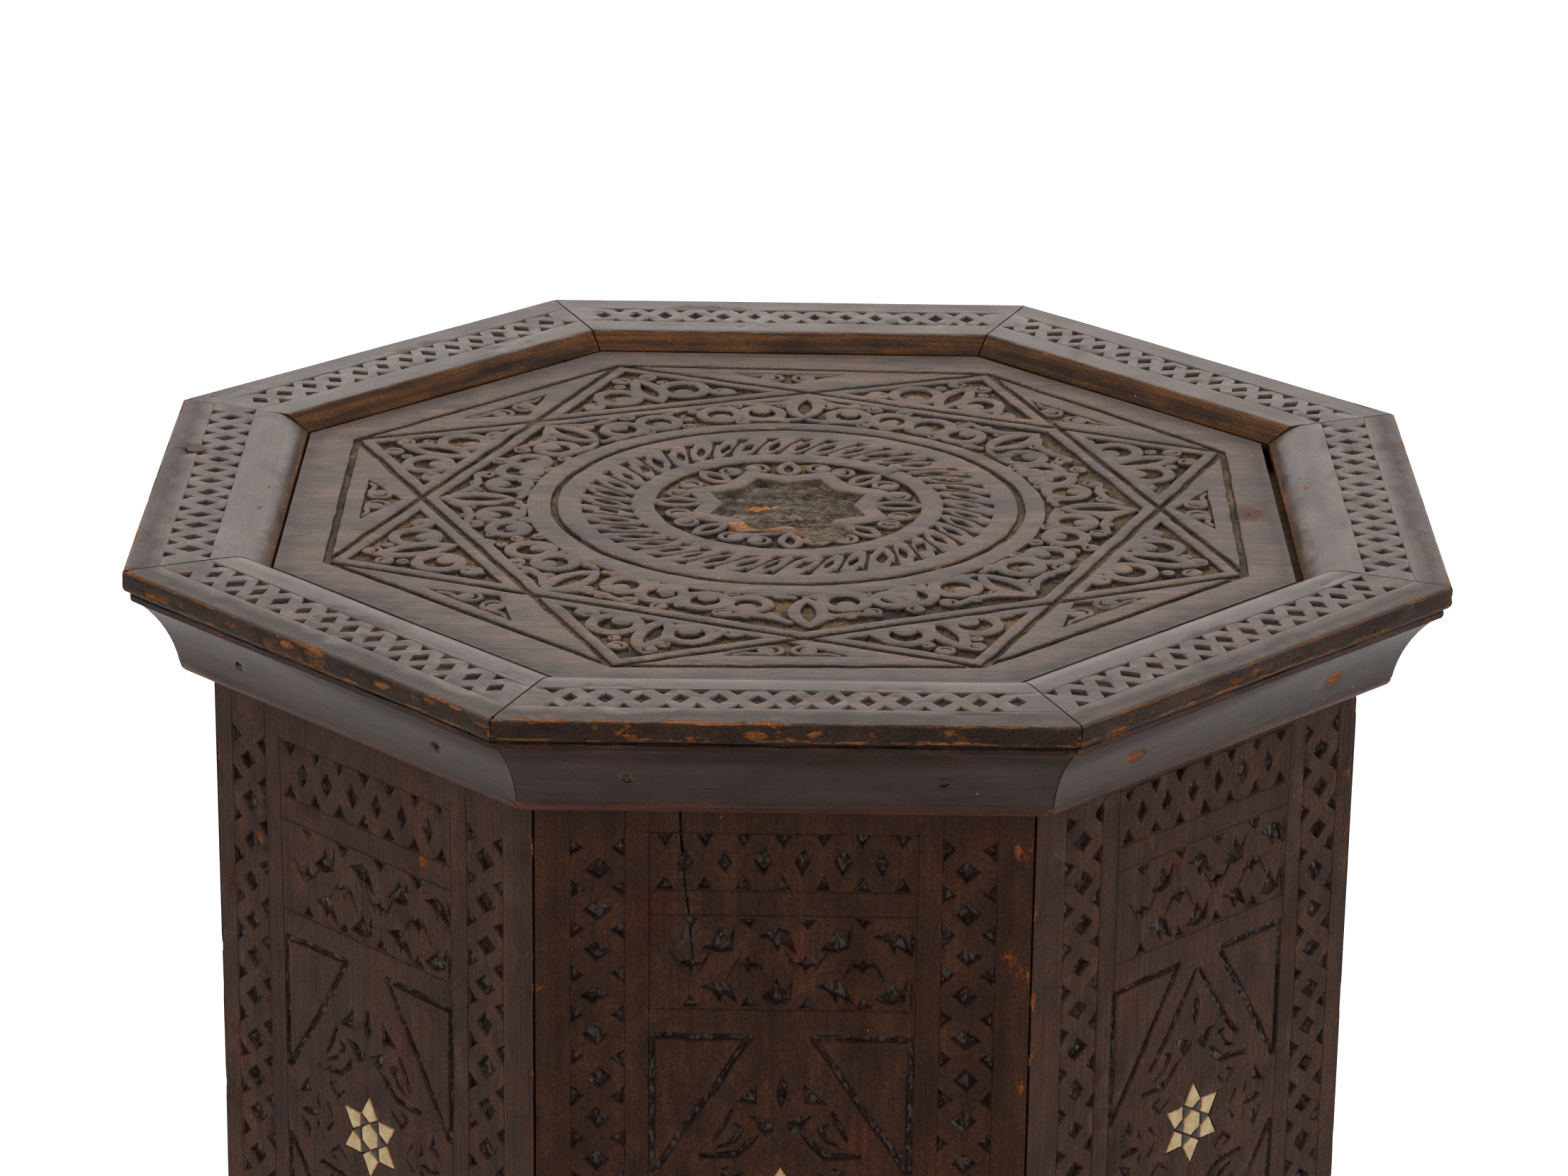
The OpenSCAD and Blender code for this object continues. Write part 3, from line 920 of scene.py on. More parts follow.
@dataclass
class TopBoard:
    """Sunk middle board: two squares and a ring in grooves, the fields between them carved with scrolls."""

    apothem: float = 167.3
    gaps: dict[int, float] = field(default_factory=lambda: {0: 1.8, 1: 1.2, 2: 1.6, 3: 1.0})
    top: float = 484.6
    thickness: float = 12.0
    tip_r: float = 163.0
    slips: tuple[float, ...] = (-0.7, -4.1, 0, 0, 0, 3.1, -0.4, -0.9)
    groove: float = 2.7
    groove_depth: float = 1.5
    ring_r: float = 79.0
    ground: float = 1.9
    strap: float = 4.8
    scroll_r: float = 8.6
    band: float = 3.8
    plait_units: int = 42
    rng: np.random.Generator = field(default_factory=lambda: np.random.default_rng(11))

    def tip(self, k: int) -> Point:
        """Tip of the star, a little off its place as the real one is."""
        return polar(self.tip_r, 45 * k + 22.5 + self.slips[k % 8])

    def crossing(self, k: int) -> Point:
        """Crossing of the two squares between tips k and k + 1."""
        return meeting(self.tip(k - 1), self.tip(k + 1), self.tip(k), self.tip(k + 2))

    def jitter(self, spread: float) -> float:
        """Small error of the hand."""
        return float(self.rng.normal(0, spread))

    def outline(self) -> Array:
        """Corners of the board, which has shrunk away from the rim on some sides.

        Returns:
            The corners, in mm.
        """
        away = [self.apothem - self.gaps.get(k, 0.0) for k in range(8)]
        corners = []
        for k in range(8):
            normals = np.array([polar(1, 45 * k), polar(1, 45 * (k + 1))])
            corners.append(np.linalg.solve(normals, [away[k], away[(k + 1) % 8]]))
        return np.array(corners)

    def lines(self, r: Relief) -> None:
        """Cuts the two squares, the eight-sided line and the ring.

        Args:
            r: surface to cut.
        """
        for step in (1, 2):
            for k in range(8):
                r.carve(ribbon([self.tip(k), self.tip(k + step)], [self.groove]), self.groove_depth, 3.6)
        half = self.groove / 2
        r.carve(disc(0, 0, self.ring_r + half) - disc(0, 0, self.ring_r - half), self.groove_depth, 3.6)

    def middle(self, r: Relief) -> None:
        """Cuts the hollow with its star-shaped strap, and the ring of leaves and buds round it.

        Args:
            r: surface to cut.
        """
        for k in range(8):
            long = k % 4 == 0
            outer = (28, 46.5, 9.6) if long else (29, 44.6, 8.4)
            inner = (31, 43.6, 4.6) if long else (32, 41.4, 3.6)
            leaf = lens((0, outer[0]), (0, outer[1]), outer[2]) - lens((0, inner[0]), (0, inner[1]), inner[2])
            r.leave(leaf.placed(turn=45 * k - 90 + self.jitter(1.5)))
            for side in (-1, 1):
                centre = polar(38.6 + self.jitter(0.5), 45 * k + side * (15 + self.jitter(0.8)))
                r.leave(bud(4.3 + self.jitter(0.2)).placed(centre, 45 * k + 90, side < 0))
        strap = polygon(star(8, 36.8, 29, 22.5))
        r.sink(disc(0, 0, 45.3) - strap, self.ground)
        hollow = polygon(star(8, 28.6, 22.4, 22.5))
        r.carve(hollow, 3.0, 2.2)
        r.fray(hollow, 0.6, 1.3, 12, 0.9)
        r.stain(Layer.AGED, hollow.shrunk(0.4), 1, 0.8, 1.2)

    def plait(self, r: Relief) -> None:
        """Cuts the plaited band: leaning loops with a pocket in each and a cut between them.

        Args:
            r: surface to cut.
        """
        pitch, lean = 360 / self.plait_units, 32
        for k in range(self.plait_units):
            at = k * pitch + self.jitter(0.5)
            turn = at - 90 - lean + self.jitter(4)
            size = 1 + self.jitter(0.1)
            pocket = polygon([(-1.9, -0.8), (-0.4, -5.4), (0.6, -5), (2, 0.9), (0.5, 5.3), (-0.7, 5)])
            if k % 5 == 2:
                pocket = polygon([(-2, -4.6), (1.7, -3.4), (2, 4.6), (-1.3, 3.4)])
            r.carve(pocket.placed(polar(60.8, at), turn, size=size), 1.8)
            between = at + pitch / 2
            reach = 9.3
            slot = ribbon([(0.5, -reach), (-0.3, 0), (-0.5, reach)], [1.9, 1.2, 1.9])
            r.carve(slot.placed(polar(61, between), between - 90 - lean), 1.2)
            for radius, point, lag in ((69.8, -4.6, -4.6), (52.6, 4, 5)):
                corner = polygon([(-2.9, 0), (2.7, 0), (1.2 * np.sign(point), point)])
                at = polar(radius, between + lag + self.jitter(0.4))
                r.carve(corner.placed(at, between + lag - 90), 1.6)

    def scrolls(self, r: Relief) -> None:
        """Cuts the scrolls between the ring and the two squares.

        Args:
            r: surface to cut.
        """
        for k in range(8):
            x, y = self.crossing(k - 1)
            turn = math.degrees(math.atan2(y, x)) - 90
            leaf = lens((0, 91.5), (0, 118.2), 13) - lens((0, 95.4), (0, 113.6), 5.2)
            r.leave(leaf.placed(turn=turn + self.jitter(0.8)))
            for side in (-1, 1):
                for n, lag in enumerate((9, 18)):
                    way = 90 - side * (lag + self.jitter(0.4))
                    ring = curl(self.scroll_r + self.jitter(0.3), self.band, 3.1, 250 if n else 70)
                    ring = ring.placed(polar(97.2 + self.jitter(0.7), way), way - 90 + 20 * side, side < 0)
                    r.leave(ring.placed(turn=turn))
                for lag, radius, size in (
                    (13.5, 107.4, 3.1), (4.6, 107.4, 2.7), (13.5, 89.6, 2.6), (4.3, 90, 2.3), (8.8, 109, 1.9)
                ):
                    centre = polar(radius + self.jitter(0.4), 90 - side * (lag + self.jitter(0.4)))
                    r.leave(bud(size).placed(centre, self.jitter(60)).placed(turn=turn))
                for stalk, widths in (
                    (((4, 113.5), (9, 108.5), (17, 106), (25, 107)), (2.4, 3.2, 2)),
                    (((2, 91), (9, 88.8), (17, 88.6)), (2.4, 2, 1.4)),
                ):
                    r.leave(ribbon([(side * x, y) for x, y in stalk], widths).placed(turn=turn))
            for radius, size, lag in ((108, 3, 0), (89.4, 2.6, 0), (104, 2, -2.6), (104, 2, 2.6), (97, 2.3, 0)):
                way = 45 * k + 22.5 + lag + self.jitter(0.5)
                r.leave(bud(size).placed(polar(radius, way), self.jitter(60)))
        fence = polygon([self.crossing(k) for k in range(8)]).shrunk(self.strap)
        r.sink(fence - disc(-0.6, -1.2, 87.4), self.ground)

    def points(self, r: Relief) -> None:
        """Cuts the eight points of the star: a leaf between two scrolls.

        Args:
            r: surface to cut.
        """
        for k in range(8):
            turn = 45 * k + 22.5 - 90 + self.slips[k]
            leaf = lens((0, 117.5), (0, 146.5), 12.2) - lens((0, 122.8), (0, 140.6), 5)
            r.leave(leaf.placed((self.jitter(0.6), 0)).placed(turn=turn + self.jitter(0.5)))
            for side in (-1, 1):
                ring = curl(9.2 + self.jitter(0.3), self.band, 3.5, 235)
                at = (side * (12.6 + self.jitter(0.5)), 128.3 + self.jitter(0.5))
                r.leave(ring.placed(at, side * 15, side < 0).placed(turn=turn))
                r.leave(bud(3.9).placed((side * 25, 121.4), 0, side < 0).placed(turn=turn))
                end = (side * 5.2, 145.8 + self.jitter(0.5))
                r.leave(bud(3.3).placed(end, 40, side < 0).placed(turn=turn))
                tie = ribbon([(side * x, y) for x, y in ((20, 128), (22, 121), (28, 119))], [3, 2.8, 2])
                r.leave(tie.placed(turn=turn))
                r.leave(bud(2.1).placed((side * 8.4, 139.4), 10, side > 0).placed(turn=turn))
            field_of_point = polygon([self.tip(k), self.crossing(k - 1), self.crossing(k)])
            r.sink(field_of_point.shrunk(self.strap), self.ground)

    def edges(self, r: Relief) -> None:
        """Cuts the low triangles between the points of the star.

        Args:
            r: surface to cut.
        """
        for k in range(8):
            turn = 45 * k - 90
            for side in (-1, 1):
                centre = (side * (5.6 + self.jitter(0.4)), 138.2)
                r.leave(bud(4.2).placed(centre, 0, side < 0).placed(turn=turn))
                tie = ribbon([(side * x, y) for x, y in ((8, 141.6), (13, 141), (16.5, 142.6))], [2, 1.6, 1])
                r.leave(tie.placed(turn=turn))
            low = polygon([(-20.5, 143.4), (0, 130.4), (20.5, 143.4)])
            r.sink(low.placed(turn=turn), 1.5)

    def harm(self, r: Relief) -> None:
        """Adds cracks, torn wood, the knot, stains, and painted shade along the edge.

        Args:
            r: surface to cut.
        """
        rng = self.rng
        inner = polygon(self.outline()).shrunk(4)
        border = polygon(self.outline()) - inner
        # dark band round the edge: painted contact shade at the foot of the rim, with some grime
        r.stain(Layer.GRIME, border, 0.85, 6, 5)
        r.stain(Layer.DULL, border, 0.6, 5, 5)
        for p, q in (
            ((33, 31), (38, 36)), ((-36, -35), (-41, -41)), ((31, -16), (36, -18)), ((46, 40), (50, 46)),
        ):
            middle = ((p[0] + q[0]) / 2 + 0.5, (p[1] + q[1]) / 2)
            r.carve(ribbon([p, middle, q], [0.5, 0.8, 0.5]), 1.1, 3)
        split = ribbon([(-16.5, -29.6), (-12, -29.4), (-7, -28.8), (-2, -28.5)], [0.7, 1.8, 1.6, 0.6])
        r.carve(split, 4.6, 9)
        worn = polygon([(1, -20), (9, -18.5), (18, -20), (22, -27), (19, -35), (11, -38), (5, -33), (2, -26)])
        r.carve(worn, 2.0, 0.9)
        r.fray(worn, 0.35, 1.3, 4, 0.9)
        r.stain(Layer.AGED, worn, 0.8, 3, 1.1)
        torn = polygon(
            [(-21, -19.5), (-8, -18.6), (8, -19), (9, -23), (1, -27.5), (-9, -28.3), (-17, -28.6), (-20, -25)]
        )
        r.fray(torn, 0.4, 0.9, 9, 0.8)
        r.stain(Layer.BARE, torn, 0.55, 2, 0.9)
        for x, y, size, long, strength in (
            (-9, 2, 2.4, 2.6, 1), (3, -25, 1.5, 3.4, 1), (-5, -21.5, 1.2, 5, 0.9), (25, 19, 1.6, 1.8, 0.9),
            (6, -35, 1.5, 2.2, 0.9), (-13, -26, 1.4, 3, 0.8), (8, 17, 1.3, 2.4, 0.8), (-24, 8, 1, 2.5, 0.6),
        ):
            r.stain(Layer.BARE, blot(x, y, size, rng, long), strength, 1.4, 0.8)
        r.stain(Layer.WARM, disc(155, -5, 6.5), 1, 3, 1.2)
        r.carve(disc(155.5, -5.2, 0.7), 0.6, 2)
        for x, y, size, long in (
            (75, 55, 7, 1.3), (96, 92, 5, 1.2), (101, -95, 7, 1.2), (-88, 84, 5, 0.8), (62, 64, 4, 1.4),
        ):
            r.stain(Layer.AGED, blot(x, y, size, rng, long), 0.6, 5, 1.8)
        for _ in range(70):
            radius, way = rng.uniform(30, 150), rng.uniform(0, 360)
            x, y = polar(radius, way)
            r.stain(Layer.BARE, blot(x, y, rng.uniform(0.5, 1.2), rng, 2), rng.uniform(0.3, 0.8), 1, 0.7)

    def build(self, finish: bpy.types.Material) -> bpy.types.Object:
        """Makes the board.

        Args:
            finish: the finish.

        Returns:
            The finished piece.
        """
        reach = self.apothem + 1
        r = Relief((-reach, -reach, reach, reach), 3, 0.27, 0.17, (0.12, 0.4), 0.2)
        for stage in (self.lines, self.middle, self.plait, self.scrolls, self.points, self.edges, self.harm):
            stage(r)
        r.finish()
        sheet = Sheet(r, self.outline(), slack=0.11, lip=0.6, floor_gap=2.0)

        def place(p: Array, fall: Array) -> Array:
            """Board's place in the table."""
            return np.column_stack([p, self.top - fall])

        body = Slab(sheet, self.thickness).body(place, 0)
        return body.made("top_board_carved", "top_board", "top_wood", finish, 40)


def bud(r: float) -> Shape:
    """Small closed bud with the cut of its scroll."""
    slit = disc(0, 0, 0.62 * r) - disc(0.34 * r, 0.12 * r, 0.62 * r)
    return disc(0, 0, r) - slit


class RimStop(IntEnum):
    """Places on the way round the section of a rim board."""

    START = 0
    UNDER = 1
    UNDER_MIDDLE = 3
    LOWER_ARRIS = 4
    EDGE_FOOT = 5
    EDGE_HEAD = 6
    UPPER_START = 7
    UPPER_ARRIS = 8
    TOP = 9
    CREST = 13
    SLOPE = 15
    FOOT = 16


@dataclass
class Rim:
    """Eight mitred boards round the top: a flat face with a band of small cuts, and a sloping inner edge."""

    height: float = 490.0
    outer: float = 214.35
    crest: float = 175.35
    foot: float = 168.35
    drop: float = 5.4
    thickness: float = 8.0
    arris: float = 1.6
    under: float = 2.4
    band: float = 194.3
    band_half: float = 7.65
    pitch: float = 11.3
    plug: tuple[int, float, float, float] = (7, 203.65, -33.5, 3.05)

    def section(self, face: int) -> Array:
        """Points of the section, from the inner lower corner outward and round.

        Args:
            face: number of the face.

        Returns:
            The points, in mm.
        """
        low = self.height - self.thickness
        points = [(self.foot, low)]
        points += arc((self.outer - self.under, low + self.under), self.under, -90, 0, 4)
        points += arc((self.outer - self.arris, self.height - self.arris), self.arris, 0, 90, 4)
        worn = ((6.6, 0), (4.3, 0.13), (2.4, 0.42), (0.8, 0.86), (-1, 1.8))
        if face in FAR_FACES:  # the far boards are less rubbed
            worn = ((2.4, 0), (1.2, 0.06), (0.4, 0.25), (-0.3, 0.7), (-1.5, 1.5))
        points += [(self.crest + x, self.height - fall) for x, fall in worn]
        points += [(self.foot + 0.4, self.height - self.drop + 0.2)]
        points += [(self.foot, self.height - self.drop - 0.2), (self.foot, low)]
        return np.array(points)

    def build(self, face: int, finish: bpy.types.Material) -> bpy.types.Object:
        """Makes the board of one face.

        Args:
            face: number of the face.
            finish: the finish.

        Returns:
            The finished piece.
        """
        rng = np.random.default_rng(200 + face)
        section = self.section(face)
        way = Moulding.stations(section)
        on_top = way[RimStop.TOP] + self.outer - self.arris
        half = self.outer * math.tan(HALF)
        r = Relief((-half - 1, -1, half + 1, way[-1] + 1), 20 + face, 0.28, 0.15, (0.05, 0.4))
        self.cuts(r, on_top, rng)
        self.harm(r, face, way, on_top, rng)
        r.finish()

        def sheet(*args: object, **kwargs: object) -> Sheet:
            """Sheet with this board's spacing."""
            return Sheet(*args, slack=0.08, rim_gap=5, field_gap=6, **kwargs)

        body = Moulding(section, face, r, 0.3).body(137.0 * face, sheet)
        name = f"rim_board_{face}"
        return body.made(name + "_carved", name, "top_wood", finish, 38)

    def cuts(self, r: Relief, on_top: float, rng: np.random.Generator) -> None:
        """Cuts the band of diamonds between two rows of triangles.

        Args:
            r: surface to cut.
            on_top: outer edge's place along the section.
            rng: source of chance.
        """
        out, back = on_top - self.band - self.band_half, on_top - self.band + self.band_half
        reach = (self.band - self.band_half) * math.tan(HALF) - 3.5
        for y in (out, back):
            far = (on_top - y) * math.tan(HALF) - 1.5
            r.scribe((-far, y), (far, y), 0.45, 0.18)
        start = rng.uniform(-2, 2)
        n = int(reach / self.pitch) + 2
        for k in range(-2 * n, 2 * n + 1):
            x = start + k * self.pitch / 2 + rng.normal(0, 0.35)
            if k % 2 == 0 and abs(x) < reach + 1:
                w, h = 3.0 * rng.uniform(0.88, 1.12), 4.3 * rng.uniform(0.9, 1.1)
                lean = rng.normal(0, 0.4)
                diamond = polygon([(-w, lean), (0, -h), (w, -lean), (0, h)])
                r.carve(diamond.placed((x, on_top - self.band + rng.normal(0, 0.25))), 1.5, 2.4)
            if k % 2 and abs(x) < reach + 1:
                for y, tip in ((out, 4.4), (back, -4.4)):
                    w, h = 2.9 * rng.uniform(0.88, 1.12), tip * rng.uniform(0.85, 1.1)
                    r.carve(polygon([(-w, 0), (rng.normal(0, 0.4), h), (w, 0)]).placed((x, y)), 1.4, 2.4)

    def harm(self, r: Relief, face: int, way: Array, on_top: float, rng: np.random.Generator) -> None:
        """Wears the edges, chips them down to the pale wood, paints shade with grime into some strips, and lets
        the plug show.

        Args:
            r: surface to cut.
            face: number of the face.
            way: length along the section up to each of its points.
            on_top: outer edge's place along the section.
            rng: source of chance.
        """
        half = self.outer * math.tan(HALF)
        start, lower, upper = way[RimStop.START] - 2, way[RimStop.UPPER_START], way[RimStop.TOP]
        foot, behind = way[RimStop.FOOT], face in FAR_FACES
        # painted shade with grime: darker underside and upright edge, and on the near boards a darker outer top
        for low, high, dull, grime in (
            (start, lower + 0.6, 1, 0.65),
            (lower, upper + 1.2, 0.4, 0.5),
            (upper + 1, upper + 9.5, 0.1 if behind else 0.6, 0.1 if behind else 0.5),
            (start, way[RimStop.UNDER_MIDDLE] + 0.2, 1, 1.2),
            (upper + 11, upper + 26, 0 if behind else 0.2, 0),
        ):
            across = strip(half, low, high)
            r.stain(Layer.DULL, across, dull, 1.2, 9)
            r.stain(Layer.GRIME, across, grime, 2.5, 9)
        crest = way[RimStop.CREST]
        for layer, low, strength in (
            (Layer.DULL, crest if behind else foot - 2, 1),
            (Layer.WARM, crest if behind else foot - 3, 1 if behind else 0.6),
            (Layer.BARE, foot - 0.5, 0.2 if behind else 0.5),
        ):
            soft, gap = (0.5, 9) if behind else (2.5, 2)
            r.stain(layer, strip(half, low, foot + 3), strength, soft, gap)
        for _ in range(14):
            x, y = rng.uniform(-0.8, 0.8) * half, rng.uniform(way[RimStop.SLOPE] + 2, foot)
            patch = blot(x, y, rng.uniform(0.7, 2), rng, rng.uniform(4, 12))
            r.stain(Layer.GRIME, patch, rng.uniform(0.5, 1), 1.5, 1.2)
        upright = (way[RimStop.EDGE_FOOT] + way[RimStop.EDGE_HEAD]) / 2
        for stop, count, size in ((RimStop.UPPER_ARRIS, 34, 0.45), (RimStop.LOWER_ARRIS, 36, 0.42)):
            for _ in range(count):
                x, y = rng.uniform(-1, 1) * half, way[stop] + rng.normal(0, 0.35)
                patch = blot(x, y, size * rng.uniform(0.6, 1.4), rng, rng.uniform(4, 14))
                r.stain(Layer.BARE, patch, rng.uniform(0.45, 1), 0.6, 0.6)
        worn = {1: (20, 1.05), 2: (12, 0.9), 8: (26, 1.2)}
        count, size = worn.get(face, (9, 0.8))
        for _ in range(count):
            x = float(np.clip(rng.normal(0.25 * half, 0.55 * half), -half, half))
            x *= 1 if face == 8 else rng.choice([-1, 1])
            y = upright + rng.normal(0, 1.9)
            patch = blot(x, y, size * rng.uniform(0.3, 1.5), rng, rng.uniform(1.5, 4))
            r.carve(patch, 0.35, 1.2)
            r.stain(Layer.BARE, patch, rng.uniform(0.35, 0.9), 1, 0.7)
        for side in (-1, 1):
            for _ in range(3):
                y = rng.uniform(way[RimStop.UNDER], upper + 2)
                edge = np.interp(y, way, self.section(face)[:, 0]) * math.tan(HALF)
                patch = blot(side * (edge - 0.4), y, rng.uniform(0.5, 1.3), rng, 1.2)
                r.carve(patch, 0.5, 1.2)
                r.stain(Layer.BARE, patch, rng.uniform(0.4, 0.9), 0.7, 0.7)
        crest = on_top - self.crest
        for _ in range(7):
            x = rng.uniform(-0.8, 0.8) * self.crest * math.tan(HALF)
            patch = blot(x, crest + rng.normal(0.4, 0.5), rng.uniform(0.4, 0.8), rng, rng.uniform(3, 7))
            r.stain(Layer.BARE, patch, rng.uniform(0.3, 0.7), 0.8, 0.8)
        for _ in range(2):
            x, y = rng.uniform(-0.7, 0.7) * half, on_top - rng.uniform(self.crest + 5, self.outer - 4)
            long = rng.uniform(12, 40)
            r.carve(ribbon([(x, y), (x + long, y + rng.normal(0, 0.4))], [0.25, 0.5, 0.2]), 0.4, 3)
        if face == self.plug[0]:
            r.carve(disc(self.plug[2], on_top - self.plug[1], self.plug[3]), 1.5, 12)


class CorniceStop(IntEnum):
    """Places on the way round the section of the cornice."""

    BEAD_FOOT = 2
    BEAD_FRONT = 3
    BEAD_HEAD = 5
    COVE_FOOT = 6
    COVE_LOW = 7
    COVE_HEAD = 15
    FILLET_FOOT = 16
    FILLET_HEAD = 17


@dataclass
class Cornice:
    """Eight mitred lengths of cove under the rim."""

    top: float = 482.0
    height: float = 30.0
    back: float = 186.7
    front: float = 212.05
    fillet: float = 2.8
    quirk: float = 1.4
    cove_r: float = 39.5
    bead_r: float = 4.5
    bead_out: float = 10.7
    nail_u: float = 48.0
    nail_z: float = 465.0
    hole_r: float = 1.55

    def section(self) -> Array:
        """Points of the section, from the inner lower corner outward and round.

        Returns:
            The points, in mm.
        """
        low = self.top - self.height
        foot = (self.back + self.bead_out, low + self.bead_r)
        head = (self.front - self.quirk, self.top - self.fillet)
        span = np.subtract(head, foot)
        long = math.hypot(*span)
        rise = math.sqrt(self.cove_r**2 - (long / 2) ** 2)
        middle = np.add(foot, head) / 2 + rise * np.array([span[1], -span[0]]) / long
        angles = [math.degrees(math.atan2(p[1] - middle[1], p[0] - middle[0])) % 360 for p in (foot, head)]
        points = [(self.back, low)]
        points += arc((foot[0] - self.bead_r, low + self.bead_r), self.bead_r, -90, 0, 5)
        points += arc(tuple(middle), self.cove_r, *angles, 9)[1:]
        points += [(self.front, self.top - self.fillet), (self.front, self.top), (self.back, self.top)]
        return np.array(points + [(self.back, low)])

    def build(self, face: int, finish: bpy.types.Material) -> bpy.types.Object:
        """Makes the length of one face.

        Args:
            face: number of the face.
            finish: the finish.

        Returns:
            The finished piece.
        """
        rng = np.random.default_rng(300 + face)
        section = self.section()
        way = Moulding.stations(section)
        half = self.front * math.tan(HALF)
        r = Relief((-half - 1, -1, half + 1, way[-1] + 1), 40 + face, 0.4, 0.12)
        bead_foot, bead_front, bead_head, cove_foot, cove_low, cove_head, fillet_foot, fillet_head = (
            way[stop] for stop in CorniceStop
        )
        cove = slice(CorniceStop.COVE_FOOT, CorniceStop.COVE_HEAD + 1)
        nail = np.interp(self.nail_z, section[cove, 1], way[cove])
        for side in (-1, 1):
            at = (side * self.nail_u + rng.normal(0, 0.3), nail)
            r.carve(disc(*at, self.hole_r), 1.6, 4)
            r.carve(blot(at[0], at[1], 2.1, rng, 1.1), 0.3, 1)
            if face in (2, 3):
                patch = blot(at[0] + rng.normal(0, 1), at[1], 2.6, rng, 1.6)
                r.carve(patch, 0.3, 1)
                r.stain(Layer.BARE, patch, 0.9, 1, 0.7)
        # these strips paint shade, with grime, under the fillet, under the rim and at the cove's foot
        for layer, low, high, strength, soft in (
            (Layer.GRIME, cove_head - 1.5, fillet_foot + 0.4, 1.2, 3),
            (Layer.DULL, cove_head - 1.5, fillet_foot + 0.4, 1, 3),
            (Layer.GRIME, fillet_head - 0.9, fillet_head + 5, 1.2, 1),
            (Layer.DULL, fillet_head - 0.9, fillet_head + 5, 1, 1),
            (Layer.WARM, bead_foot, cove_foot, 0.85, 1),
            (Layer.DULL, bead_foot, bead_head, 0.8, 1),
            (Layer.GRIME, cove_foot - 0.5, cove_low - 1.5, 0.8, 3),
            (Layer.WARM, fillet_foot - 0.3, fillet_foot + 2, 0.8, 1),
        ):
            r.stain(layer, strip(half, low, high), strength, soft, 9)
        for y, width, depth in ((cove_head - 1, 1.4, 0.8), (fillet_head - 0.4, 1.3, 0.6)):
            line = [(-half - 3, y), (0, y + rng.normal(0, 0.1)), (half + 3, y)]
            r.carve(ribbon(line, [width]), depth, 2)
        for _ in range(9):
            x, y = rng.uniform(-0.95, 0.95) * half, rng.choice([bead_front, fillet_head]) + rng.normal(0, 0.3)
            patch = blot(x, y, rng.uniform(0.25, 0.5), rng, rng.uniform(4, 12))
            r.stain(Layer.BARE, patch, rng.uniform(0.25, 0.5), 0.6, 0.7)
        for side in (-1, 1):
            for y in (bead_head, fillet_foot):
                edge = np.interp(y, way, section[:, 0]) * math.tan(HALF)
                patch = blot(side * edge, y, rng.uniform(0.8, 1.6), rng, 1.1)
                r.carve(patch, 0.5, 1)
                r.stain(Layer.BARE, patch, 0.6, 0.8, 0.7)
        r.finish()

        def sheet(*args: object, **kwargs: object) -> Sheet:
            """Sheet with this length's spacing."""
            return Sheet(*args, slack=0.09, rim_gap=8, field_gap=9, **kwargs)

        body = Moulding(section, face, r, 0.18).body(91.0 * face, sheet)
        name = f"cornice_{face}"
        return body.made(name + "_worn", name, "cornice_wood", finish, 38)


